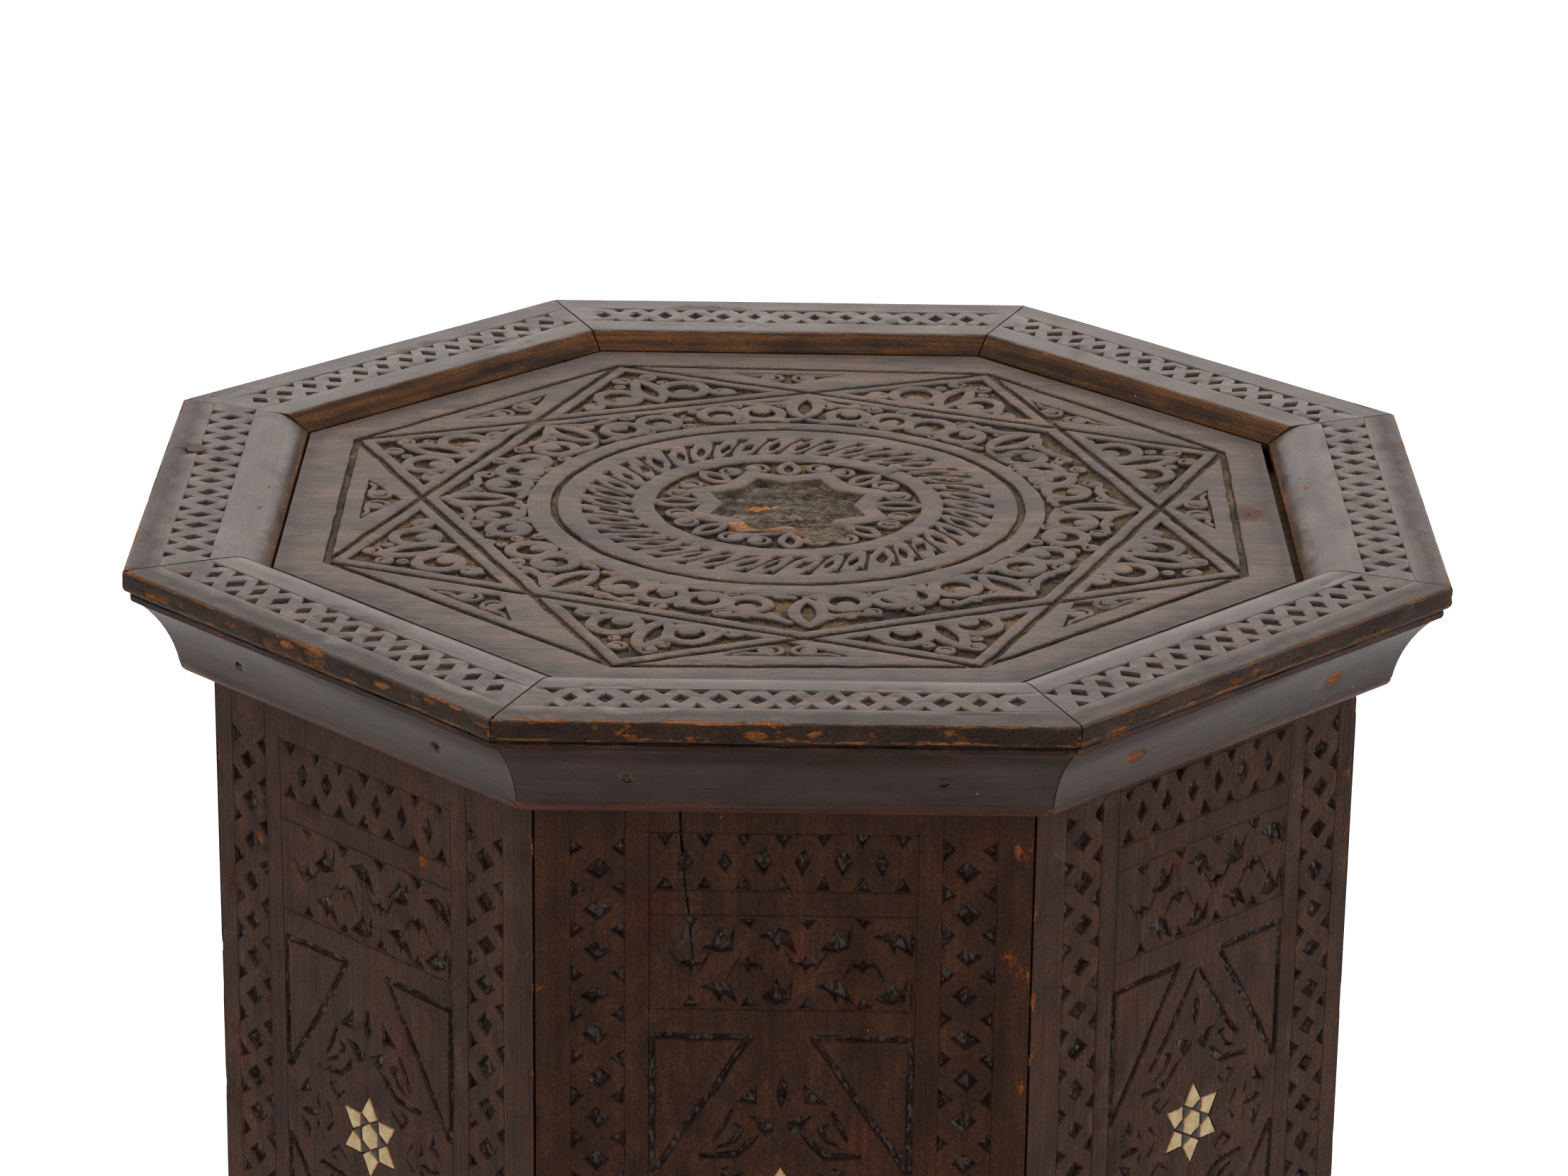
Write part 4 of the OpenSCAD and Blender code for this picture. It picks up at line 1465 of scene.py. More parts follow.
@dataclass
class SidePanel:
    """Carved side board cut to a pointed arch between its two feet. Heights are taken from the rim down."""

    table: float = 490.0
    face_a: float = 186.7
    thickness: float = 12.0
    head: float = 8.0
    seam: float = 0.5
    jamb: float = 44.0
    spring: float = 92.0
    corbel: float = 4.0
    arch_r: float = 64.0
    nib: float = 12.0
    nib_w: float = 5.0
    star_z: float = -176.0
    star_r: float = 14.8
    field_w: float = 41.5
    field_top: float = 60.0
    border: tuple[float, float] = (49.0, 66.0)
    border_top: float = -60.0
    pitch: float = 14.2
    band_z: float = 118.5
    band_pitch: float = 12.2
    frieze_z: float = 84.0
    frieze_pitch: float = 18.0
    frieze_row: float = 8.5
    slips: tuple[Point, ...] = ((0, 0), (3, 4), (1, -2), (-1, 1), (0, 2), (2, -1), (-1, 0), (-3, -5))

    def half_width(self) -> float:
        """Half the width of the front of the board."""
        return self.face_a * math.tan(HALF) - self.seam

    def outline(self) -> Array:
        """Edge of the board, anticlockwise, with its arch.

        Returns:
            The corners, in mm.
        """
        half, jamb, spring = self.half_width(), self.jamb, self.spring
        foot, inner = spring + self.corbel, jamb - self.corbel
        off = self.arch_r - inner
        crown = foot + math.sqrt(self.arch_r**2 - off**2)
        nib_z = foot + math.sqrt(self.arch_r**2 - (off + self.nib_w) ** 2)
        end = math.degrees(math.atan2(nib_z - foot, off + self.nib_w))
        right = [(jamb, 0), (jamb, spring), (inner, spring)] + arc((-off, foot), self.arch_r, 0, end, 12)
        left = [(-x, z) for x, z in right[::-1]]
        ring = [(half, 0), (half, self.table - self.head), (-half, self.table - self.head), (-half, 0)]
        ring += left[::-1] + [(0, crown + self.nib)] + right[::-1]
        return np.array(ring) - (0, self.table)

    def cell(self, r: Relief, points: Sequence[Point], rng: np.random.Generator, depth: float = 1.7) -> None:
        """Cuts one small straight-sided pocket, each corner a little off its place."""
        r.carve(polygon([(x + rng.normal(0, 0.25), y + rng.normal(0, 0.25)) for x, y in points]), depth, 2.4)

    def borders(self, r: Relief, rng: np.random.Generator) -> None:
        """Cuts the two upright bands: diamonds between two rows of triangles.

        Args:
            r: surface to cut.
            rng: source of chance.
        """
        inner, outer = self.border
        low = -self.table + 6
        for side in (-1, 1):
            for x in (inner, outer):
                r.scribe((side * x, low), (side * x, -9))
            for n in range(int((self.border_top - low) / self.pitch)):
                z = self.border_top - n * self.pitch + rng.normal(0, 0.35)
                middle = side * (inner + outer) / 2 + rng.normal(0, 0.3)
                w, h = 4.6 * rng.uniform(0.92, 1.08), 4.0 * rng.uniform(0.92, 1.08)
                self.cell(r, [(middle - w, z), (middle, z - h), (middle + w, z), (middle, z + h)], rng, 1.9)
                z += self.pitch / 2
                for x, tip in ((outer, -4.8), (inner, 4.8)):
                    h = 3.7 * rng.uniform(0.88, 1.12)
                    self.cell(r, [(side * x, z + h), (side * (x + tip), z), (side * x, z - h)], rng)

    def lattice(self, r: Relief, rng: np.random.Generator, up: bool) -> None:
        """Cuts the level band of tall diamonds between two rows of triangles, above or below the star.

        Args:
            r: surface to cut.
            rng: source of chance.
            up: above the star, not below.
        """
        way = 1 if up else -1
        for y in (self.band_z + 9.7, self.band_z - 9.8):
            r.scribe((-self.field_w, self.star_z + way * y), (self.field_w, self.star_z + way * y))
        for k in range(-3, 4):
            x = self.band_pitch * (k - 0.5)
            h = 4.8 * rng.uniform(0.9, 1.08)
            cells = [[(-2.8, 0), (0, -h), (2.8, 0), (0, h)]] if k > -3 else []
            middle = self.band_pitch / 2
            cells += [[(middle - 2.8, 9.4), (middle, 4.6), (middle + 2.8, 9.4)]]
            cells += [[(middle - 3, -9.4), (middle, -4.2), (middle + 3, -9.4)]]
            for cell in cells:
                shape = [(x + px, self.star_z + way * (self.band_z + pz)) for px, pz in cell]
                if max(abs(px) for px, _ in shape) < self.field_w:
                    self.cell(r, shape, rng, 1.8)

    def frieze(self, r: Relief, rng: np.random.Generator, up: bool) -> None:
        """Cuts the band of curling leaves, above or below the star.

        Args:
            r: surface to cut.
            rng: source of chance.
            up: above the star, not below.
        """
        way = 1 if up else -1

        def at(x: float, z: float) -> Point:
            """Point of the band, turned over where the band lies below the star."""
            return x, self.star_z + way * (self.frieze_z + z)

        for y in (16.6, -15.4):
            r.scribe(at(-self.field_w, y), at(self.field_w, y), 0.7, 0.3)
        cup = [(-5.8, -3.5), (-1.8, 0.6), (0, 4.6), (1.7, 0.8), (3, -0.2), (5.2, 5.5), (4.6, -3.4), (0, -4.9)]
        bow = [(-6.4, 1.2), (0, 3.9), (3.6, 2), (6.6, -5.8), (1.4, -2.2), (0.6, -5), (-2.2, -0.4)]
        points = [polar((5.2, 1.5, 3.4, 1.5)[n % 4], 45 * n) for n in range(8)]
        for k in range(-2, 3):
            x = (k - 0.6) * self.frieze_pitch
            if abs(x) < 36:
                self.cell(r, [at(x + px, pz) for px, pz in points], rng, 1.7)
            for tri in ([(-3.4, 15.8), (0.2, 11.8), (3.2, 15.8)], [(-2.6, -14.8), (0.2, -10.4), (3, -14.8)]):
                if abs(x) < 37:
                    self.cell(r, [at(x + px, pz) for px, pz in tri], rng, 1.5)
            x = (k - 0.1) * self.frieze_pitch
            for row in (-1, 1):
                shape = bow if (k % 2 == 0) == (row > 0) else cup
                shape = [at(x + px, row * self.frieze_row + pz) for px, pz in shape]
                if max(abs(px) for px, _ in shape) < self.field_w + 1:
                    self.cell(r, shape, rng, 1.7)
            for side in (-1, 1):
                curve = [at(x + side * (2 + n), side * (5.5 - 1.7 * n) * (-1) ** k) for n in range(6)]
                if max(abs(px) for px, _ in curve) < self.field_w - 1:
                    r.carve(ribbon(curve, [0.6, 1.5, 0.6]), 0.9, 1.8)
        for z in (8, -9.5):
            r.carve(ribbon([at(40, z + 4), at(40.3, z), at(40, z - 4.4)], [0.8, 1.8, 0.8]), 1.3, 2.2)

    def field_of_star(self, r: Relief, rng: np.random.Generator, face: int) -> None:
        """Cuts the field round the star: four corner triangles in grooves, and leaves between them.

        Args:
            r: surface to cut.
            rng: source of chance.
            face: number of the face.
        """
        both = [(sx, sy) for sx in (-1, 1) for sy in (-1, 1)]
        w, h = self.field_w - 1, self.field_top - 1
        for sx, sy in both:
            for start, end in (((w, h), (10, h)), ((10, h), (w - 1, 13)), ((w, h), (w, 13))):
                p, q = [(sx * x, self.star_z + sy * y + rng.normal(0, 0.2)) for x, y in (start, end)]
                middle = ((p[0] + q[0]) / 2 + rng.normal(0, 0.3), (p[1] + q[1]) / 2)
                r.carve(ribbon([p, middle, q], [2.5, 2.8, 2.5]), 1.4, 2.6)
        pointed = face in (2, 4, 7)
        for sx, sy in both:

            def put(points: Sequence[Point], widths: Sequence[float] = (), depth: float = 1.5) -> None:
                """Cuts a pocket or a groove in this quarter of the field.

                Args:
                    points: middle line of a groove, or corners of a pocket.
                    widths: width at each point of a groove, none for a pocket.
                    depth: depth, in mm.
                """
                way = [
                    (sx * x + rng.normal(0, 0.2), self.star_z + sy * y + rng.normal(0, 0.2))
                    for x, y in points
                ]
                r.carve(ribbon(way, widths) if widths else polygon(way), depth, 2.1)

            if pointed:
                put([(21, 26), (14, 35), (7, 45), (1, 55)], [2.4, 2.8, 2.6, 1.6])
                put([(7.5, 44), (10.5, 41.5), (8.5, 39)])
            else:
                put([(7, 44), (7.2, 36), (14.5, 36)])
                put([(15.6, 33.5), (18, 29), (20.8, 23.5)], [1.6, 2.6, 1.4])
            put([(10.5, 32.5), (6, 32), (1.4, 29.5), (2, 27), (5, 25), (6.5, 27), (8, 30)])
            put([(26, 18.6), (14, 20), (10, 24), (5, 26), (9, 21), (14, 17), (25.5, 16.6)])
            put([(20, 21), (15, 23.5), (12, 28), (14.5, 29.5)], [1.2, 2.2, 2.4, 1.2], 1.3)
            put([(12, 12.5), (16, 9), (19.5, 12.5), (16.5, 14)], [1.2, 2, 1.2], 1.2)
            put([(21, 4.5), (18.4, 1.2)], [1.8, 1.0], 1.1)
            put([(31, 12), (36, 3.5), (29, 6)], depth=1.3)
            put([(26, 7.5), (24.5, 1.2), (27, 4)], depth=1.0)
        for y in (40.5, -40.5):
            r.carve(lens((0, self.star_z + y - 6), (0, self.star_z + y + 6), 3.6), 1.5, 2.1)
        for x in (-30, 30):
            r.carve(lens((x - 5, self.star_z - 1), (x + 5, self.star_z - 0.6), 3.4), 1.4, 2.1)
        tips = star(6, self.star_r + 0.25, (self.star_r + 0.25) / math.sqrt(3), 90)
        r.carve(polygon([(x, y + self.star_z) for x, y in tips]), 1.6, 6)

    def harm(self, r: Relief, face: int, rng: np.random.Generator) -> None:
        """Splits, scuffs and chipped edges.

        Args:
            r: surface to cut.
            face: number of the face.
            rng: source of chance.
        """
        half = self.half_width()
        if face == 1:
            way = [(-32.2, -38), (-31.6, -52), (-30.4, -66), (-28.6, -82), (-27.8, -97)]
            r.carve(ribbon(way, [0.9, 0.8, 0.6, 0.3]), 3.5, 9)
        for side in (-1, 1):
            for _ in range(18):
                z = rng.uniform(-self.table + 4, -40)
                x = side * (half - rng.uniform(0, 0.8))
                patch = blot(x, z, rng.uniform(0.8, 2.8), rng, rng.uniform(0.2, 0.45))
                r.carve(patch, rng.uniform(0.3, 0.7), 1.2)
                r.stain(Layer.BARE, patch, rng.uniform(0.4, 1), 0.8, 0.8)
        spots = {
            1: [(72.5, -52.5, 1.8, 0.9), (75, -133, 1.2, 0.8), (70, -88, 1, 2)],
            8: [(25, -74, 2.4, 0.8), (-57, -92, 2.2, 1)],
        }
        for x, z, size, long in spots.get(face, []):
            patch = blot(x, z, size, rng, long)
            r.carve(patch, 0.3, 1)
            r.stain(Layer.BARE, patch, 0.9, 0.8, 0.8)
        for _ in range(26):
            x, z = rng.uniform(-half, half), rng.uniform(-self.table, -40)
            r.stain(Layer.BARE, blot(x, z, rng.uniform(0.4, 1.0), rng, 0.7), rng.uniform(0.2, 0.55), 1, 0.9)
        for _ in range(7 if face == 8 else 4):
            x, z = rng.uniform(-half, half), rng.uniform(-0.8 * self.table, -60)
            r.stain(Layer.WARM, blot(x, z, rng.uniform(4, 9), rng, 0.6), rng.uniform(0.3, 0.7), 8, 3)

    def build(self, face: int, finish: bpy.types.Material) -> bpy.types.Object:
        """Makes the board of one face.

        Args:
            face: number of the face.
            finish: the finish.

        Returns:
            The finished piece.
        """
        rng = np.random.default_rng(400 + face)
        half = self.half_width()
        box = (-half - 1, -self.table - 1, half + 1, 1 - self.head)
        r = Relief(box, 60 + face, 0.33, 0.18, (0.1, 0.4), 0.26)
        r.shift = self.slips[face - 1]
        self.borders(r, rng)
        for up in (True, False):
            self.lattice(r, rng, up)
            self.frieze(r, rng, up)
        for side in (-1, 1):
            r.scribe((side * self.field_w, -47), (side * self.field_w, 2 * self.star_z + 47))
        self.field_of_star(r, rng, face)
        r.shift = (0.0, 0.0)
        self.harm(r, face, rng)
        r.finish()
        behind = self.half_width() - self.thickness * math.tan(HALF)

        def drawn_in(p: Array) -> Array:
            """Back edge of the board, narrower by its two mitres."""
            share = np.clip((np.abs(p[:, 0]) - self.jamb) / (half - self.jamb), 0, 1)
            return np.stack([np.sign(p[:, 0]) * (np.abs(p[:, 0]) - share * (half - behind)), p[:, 1]], 1)

        def place(p: Array, fall: Array) -> Array:
            """Board's place in the table."""
            return faced(face, self.face_a - fall, p[:, 0], p[:, 1] + self.table)

        sheet = Sheet(r, self.outline(), slack=0.11, rim_gap=6, floor_gap=1.7, field_gap=9)
        slab = Slab(sheet, self.thickness, drawn_in)
        body = slab.body(place, 211.0 * face)
        body.lay = body.lay[:, [1, 0, 2]]
        name = f"side_panel_{face}"
        return body.made(name + "_carved", name, "side_wood", finish)


@dataclass
class Inlay:
    """Six-pointed star let into each side: seven pieces of bone and six of black wood."""

    face_a: float = 186.7
    z: float = 314.0
    tip_r: float = 14.8
    depth: float = 2.4
    fit: float = 0.962
    bevel: float = 0.35
    slips: tuple[Point, ...] = SidePanel.slips

    def bone(self) -> list[list[Point]]:
        """Corners of the bone pieces: the middle hexagon and the six points."""
        tip, notch, core = self.corners()
        return [core] + [[tip[k], notch[k], core[k], notch[k - 1]] for k in range(6)]

    def black(self) -> list[list[Point]]:
        """Corners of the black pieces between them."""
        _, notch, core = self.corners()
        return [[core[k], notch[k], core[(k + 1) % 6]] for k in range(6)]

    def corners(self) -> tuple[list[Point], list[Point], list[Point]]:
        """Tips, notches and middle corners of the star.

        Returns:
            The three lists.
        """
        tip = [polar(self.tip_r, 90 + 60 * k) for k in range(6)]
        notch = [polar(self.tip_r / math.sqrt(3), 120 + 60 * k) for k in range(6)]
        return tip, notch, [polar(self.tip_r / 3, 90 + 60 * k) for k in range(6)]

    def build(self, face: int, black: bool, finish: bpy.types.Material) -> bpy.types.Object:
        """Makes the bone or the black pieces of one face's star.

        Args:
            face: number of the face.
            black: makes the black pieces, not the bone.
            finish: the finish.

        Returns:
            The finished piece.
        """
        rng = np.random.default_rng(500 + 10 * face + black)
        points, faces, lay, edge = [], [], [], []
        for outline in self.black() if black else self.bone():
            corners = np.array(outline) + rng.normal(0, 0.1, (len(outline), 2))
            middle = corners.mean(0)
            corners = middle + (corners - middle) * self.fit
            ring = spaced(np.vstack([corners, corners[:1]]), 0.9)[:-1]
            ring = ring + rng.normal(0, 0.06, ring.shape)
            proud = rng.uniform(-0.3, -0.12)
            tilt = rng.normal(0, 0.012, 2)
            reach = np.hypot(*(ring - middle).T).mean()
            start = len(points)
            for shrink, deep, mark in (
                (0, self.depth, 1), (0, self.bevel, 1), (self.bevel, 0.04, 0.75), (1.2, 0, 0.15),
            ):
                loop = middle + (ring - middle) * (1 - shrink / reach)
                level = -deep + proud + (loop - middle) @ tilt
                points += [(x, y, z) for (x, y), z in zip(loop, level)]
                edge += [mark] * len(ring)
            points.append((*middle, 0.06 + proud))
            edge.append(0)
            n = len(ring)
            for level in range(3):
                for k in range(n):
                    a, b = start + level * n + k, start + level * n + (k + 1) % n
                    faces.append((a, b, b + n, a + n))
            hub = start + 4 * n
            faces += [(start + 3 * n + k, start + 3 * n + (k + 1) % n, hub) for k in range(n)]
            faces.append(tuple(start + k for k in reversed(range(n))))
        flat = np.array(points)
        du, dz = self.slips[face - 1]
        place = faced(face, self.face_a + flat[:, 2], flat[:, 0] + du, flat[:, 1] + dz + self.z)
        lay = flat + (37.0 * face, 11.0 * face, 0)
        name = f"star_{'black' if black else 'bone'}_{face}"
        body = Body(place, faces, lay, {Layer.ARRIS: np.array(edge)})
        return body.made(name + "_set", name, "black_wood" if black else "bone", finish, 50)


# ------------ finishes

Value = object
Colour = tuple[float, float, float]


class Wiring:
    """Lays nodes into a tree and joins them."""

    def __init__(self, tree: bpy.types.NodeTree) -> None:
        """Takes the tree that is wired."""
        self.tree = tree

    def put(self, socket: bpy.types.NodeSocket, value: Value) -> None:
        """Joins a socket to another, or sets its own value.

        Args:
            socket: socket to feed.
            value: another socket, or the value itself.
        """
        if isinstance(value, bpy.types.NodeSocket):
            self.tree.links.new(value, socket)
        elif isinstance(value, tuple) and socket.type == "RGBA":
            socket.default_value = (*value, 1)
        else:
            socket.default_value = value

    def node(
        self, kind: str, inputs: Optional[dict[str | int, Value]] = None, **settings: Value
    ) -> bpy.types.Node:
        """Adds a node.

        Args:
            kind: Blender's name of the node's type.
            inputs: what goes into its sockets, by name or number.
            settings: its other settings.

        Returns:
            The node.
        """
        node = self.tree.nodes.new(kind)
        for name, value in settings.items():
            setattr(node, name, value)
        for name, value in (inputs or {}).items():
            self.put(node.inputs[name], value)
        return node

    def math(self, operation: str, a: Value, b: Value = 0.0, clamp: bool = False) -> bpy.types.NodeSocket:
        """Result of one sum."""
        return self.node("ShaderNodeMath", {0: a, 1: b}, operation=operation, use_clamp=clamp).outputs[0]

    def times(self, a: Value, b: Value, clamp: bool = False) -> bpy.types.NodeSocket:
        """One number times another."""
        return self.math("MULTIPLY", a, b, clamp)

    def mix(self, share: Value, a: Value, b: Value, blend: str = "MIX") -> bpy.types.NodeSocket:
        """Colour between two colours."""
        node = self.node("ShaderNodeMix", {0: share, 6: a, 7: b}, data_type="RGBA", blend_type=blend)
        return node.outputs[2]

    def between(self, share: Value, a: Value, b: Value) -> bpy.types.NodeSocket:
        """Number between two numbers."""
        return self.node("ShaderNodeMix", {0: share, 2: a, 3: b}, data_type="FLOAT").outputs[0]

    def step(self, value: Value, low: float, high: float, to: Point = (0, 1)) -> bpy.types.NodeSocket:
        """Smooth step of a value between two levels."""
        inputs = {0: value, 1: low, 2: high, 3: float(to[0]), 4: float(to[1])}
        return self.node("ShaderNodeMapRange", inputs, interpolation_type="SMOOTHSTEP").outputs[0]

    def stretched(self, vector: Value, factors: Colour) -> bpy.types.NodeSocket:
        """Vector with each part multiplied."""
        return self.node("ShaderNodeVectorMath", {0: vector, 1: factors}, operation="MULTIPLY").outputs[0]

    def noise(
        self, vector: Value, scale: float | Colour, detail: float = 3, bent: float = 0
    ) -> bpy.types.NodeSocket:
        """Value of a noise, whose scale may differ along the three axes.

        Args:
            vector: place where it is read.
            scale: fineness, one or one for each axis.
            detail: number of finer layers.
            bent: how far it is distorted.

        Returns:
            Socket that gives the value.
        """
        if isinstance(scale, tuple):
            vector, scale = self.stretched(vector, scale), 1
        inputs = {"Vector": vector, "Scale": scale, "Detail": detail, "Distortion": bent}
        return self.node("ShaderNodeTexNoise", inputs).outputs["Fac"]

    def layer(self, name: str) -> bpy.types.Node:
        """Reads a layer of the mesh."""
        return self.node("ShaderNodeAttribute", attribute_name=name)

    def group(self, tree: bpy.types.NodeTree, inputs: dict[str, Value]) -> bpy.types.Node:
        """Places a shared group.

        Args:
            tree: the group.
            inputs: a value or a socket for each input.

        Returns:
            The node placed.
        """
        node = self.tree.nodes.new("ShaderNodeGroup")
        node.node_tree = tree
        for name, value in inputs.items():
            self.put(node.inputs[name], value)
        return node


def started(name: str) -> tuple[bpy.types.Material, Wiring, bpy.types.Node]:
    """New material with its wiring and its shader.

    Args:
        name: name of the material.

    Returns:
        The material, its wiring and its shader.
    """
    made = bpy.data.materials.new(name)
    made.use_nodes = True
    return made, Wiring(made.node_tree), made.node_tree.nodes["Principled BSDF"]


def new_group(name: str, inputs: dict[str, str], outputs: dict[str, str]) -> tuple[Wiring, Value, Value]:
    """Starts a shared group.

    Args:
        name: its name.
        inputs: socket types by input name.
        outputs: socket types by output name.

    Returns:
        The wiring, the sockets that the inputs come from, and those that the outputs go to.
    """
    tree = bpy.data.node_groups.new(name, "ShaderNodeTree")
    for side, sockets in (("INPUT", inputs), ("OUTPUT", outputs)):
        for label, kind in sockets.items():
            tree.interface.new_socket(name=label, in_out=side, socket_type="NodeSocket" + kind)
    w = Wiring(tree)
    return w, w.node("NodeGroupInput").outputs, w.node("NodeGroupOutput").inputs


def grain_group() -> bpy.types.NodeTree:
    """Figure of the wood along its first axis: streaks, broad clouds, and open pores.

    Returns:
        The group.
    """
    w, given, result = new_group(
        "Wood grain", {"Lay": "Vector"}, {"Streaks": "Float", "Clouds": "Float", "Pores": "Float"}
    )
    lay = given["Lay"]
    fine = w.noise(lay, (0.012, 0.55, 0.3), 5, 0.4)
    broad = w.noise(lay, (0.006, 0.07, 0.05), 3, 0.8)
    pore = w.noise(lay, (0.09, 2.6, 1.2), 2, 0.2)
    w.put(result["Streaks"], w.step(fine, 0.3, 0.7))
    w.put(result["Clouds"], w.step(broad, 0.3, 0.7))
    w.put(result["Pores"], w.step(pore, 0.6, 0.7))
    return w.tree


def wear_group() -> bpy.types.NodeTree:
    """Where the finish is rubbed off: along edges, unevenly, which also paints a highlight there, and wherever
    bare wood is marked.

    Returns:
        The group.
    """
    w, given, result = new_group(
        "Wear",
        {"Lay": "Vector", "Edge": "Float", "Bare": "Float", "Amount": "Float"},
        {"Rubbed and highlit": "Float", "Bare": "Float"},
    )
    patches = w.noise(given["Lay"], (0.06, 0.11, 0.1), 4)
    fine = w.noise(given["Lay"], (0.5, 0.9, 0.9), 4)
    share = w.times(w.step(patches, 0.42, 0.68), w.step(fine, 0.35, 0.6))
    # rubbed edges, lightened also as a painted highlight
    rubbed = w.times(w.times(share, given["Edge"]), given["Amount"], clamp=True)
    w.put(result["Rubbed and highlit"], rubbed)
    ragged = w.math("ADD", given["Bare"], w.times(w.math("SUBTRACT", fine, 0.5), 0.9))
    w.put(result["Bare"], w.times(w.step(ragged, 0.35, 0.62), w.step(given["Bare"], 0.02, 0.2)))
    return w.tree


def dust_group() -> bpy.types.NodeTree:
    """Where dust has settled in the cuts, and pale specks that are partly dust and partly painted glints.

    Returns:
        The group.
    """
    w, given, result = new_group(
        "Dust", {"Lay": "Vector", "Sunk": "Float", "Amount": "Float"}, {"Dust": "Float", "Specks and glints": "Float"}
    )
    cloud = w.noise(given["Lay"], (0.035, 0.035, 0.035), 4)
    fine = w.noise(given["Lay"], (0.9, 0.9, 0.9), 3)
    settled = w.times(w.step(given["Sunk"], 0.7, 1.0), w.step(cloud, 0.35, 0.65))
    w.put(result["Dust"], w.times(w.times(settled, w.step(fine, 0.25, 0.6)), given["Amount"], clamp=True))
    spread = w.stretched(given["Lay"], (0.14, 0.14, 0.14))
    cells = w.node("ShaderNodeTexVoronoi", {"Vector": spread, "Scale": 1.0})
    speck = w.step(cells.outputs["Distance"], 0.05, 0.02)
    rare = w.step(w.node("ShaderNodeSeparateColor", {0: cells.outputs["Color"]}).outputs[0], 0.82, 0.86)
    w.put(result["Specks and glints"], w.times(speck, rare))
    return w.tree


@dataclass(frozen=True)
class Effects:
    """The groups that the finishes share."""

    grain: bpy.types.NodeTree
    wear: bpy.types.NodeTree
    dust: bpy.types.NodeTree


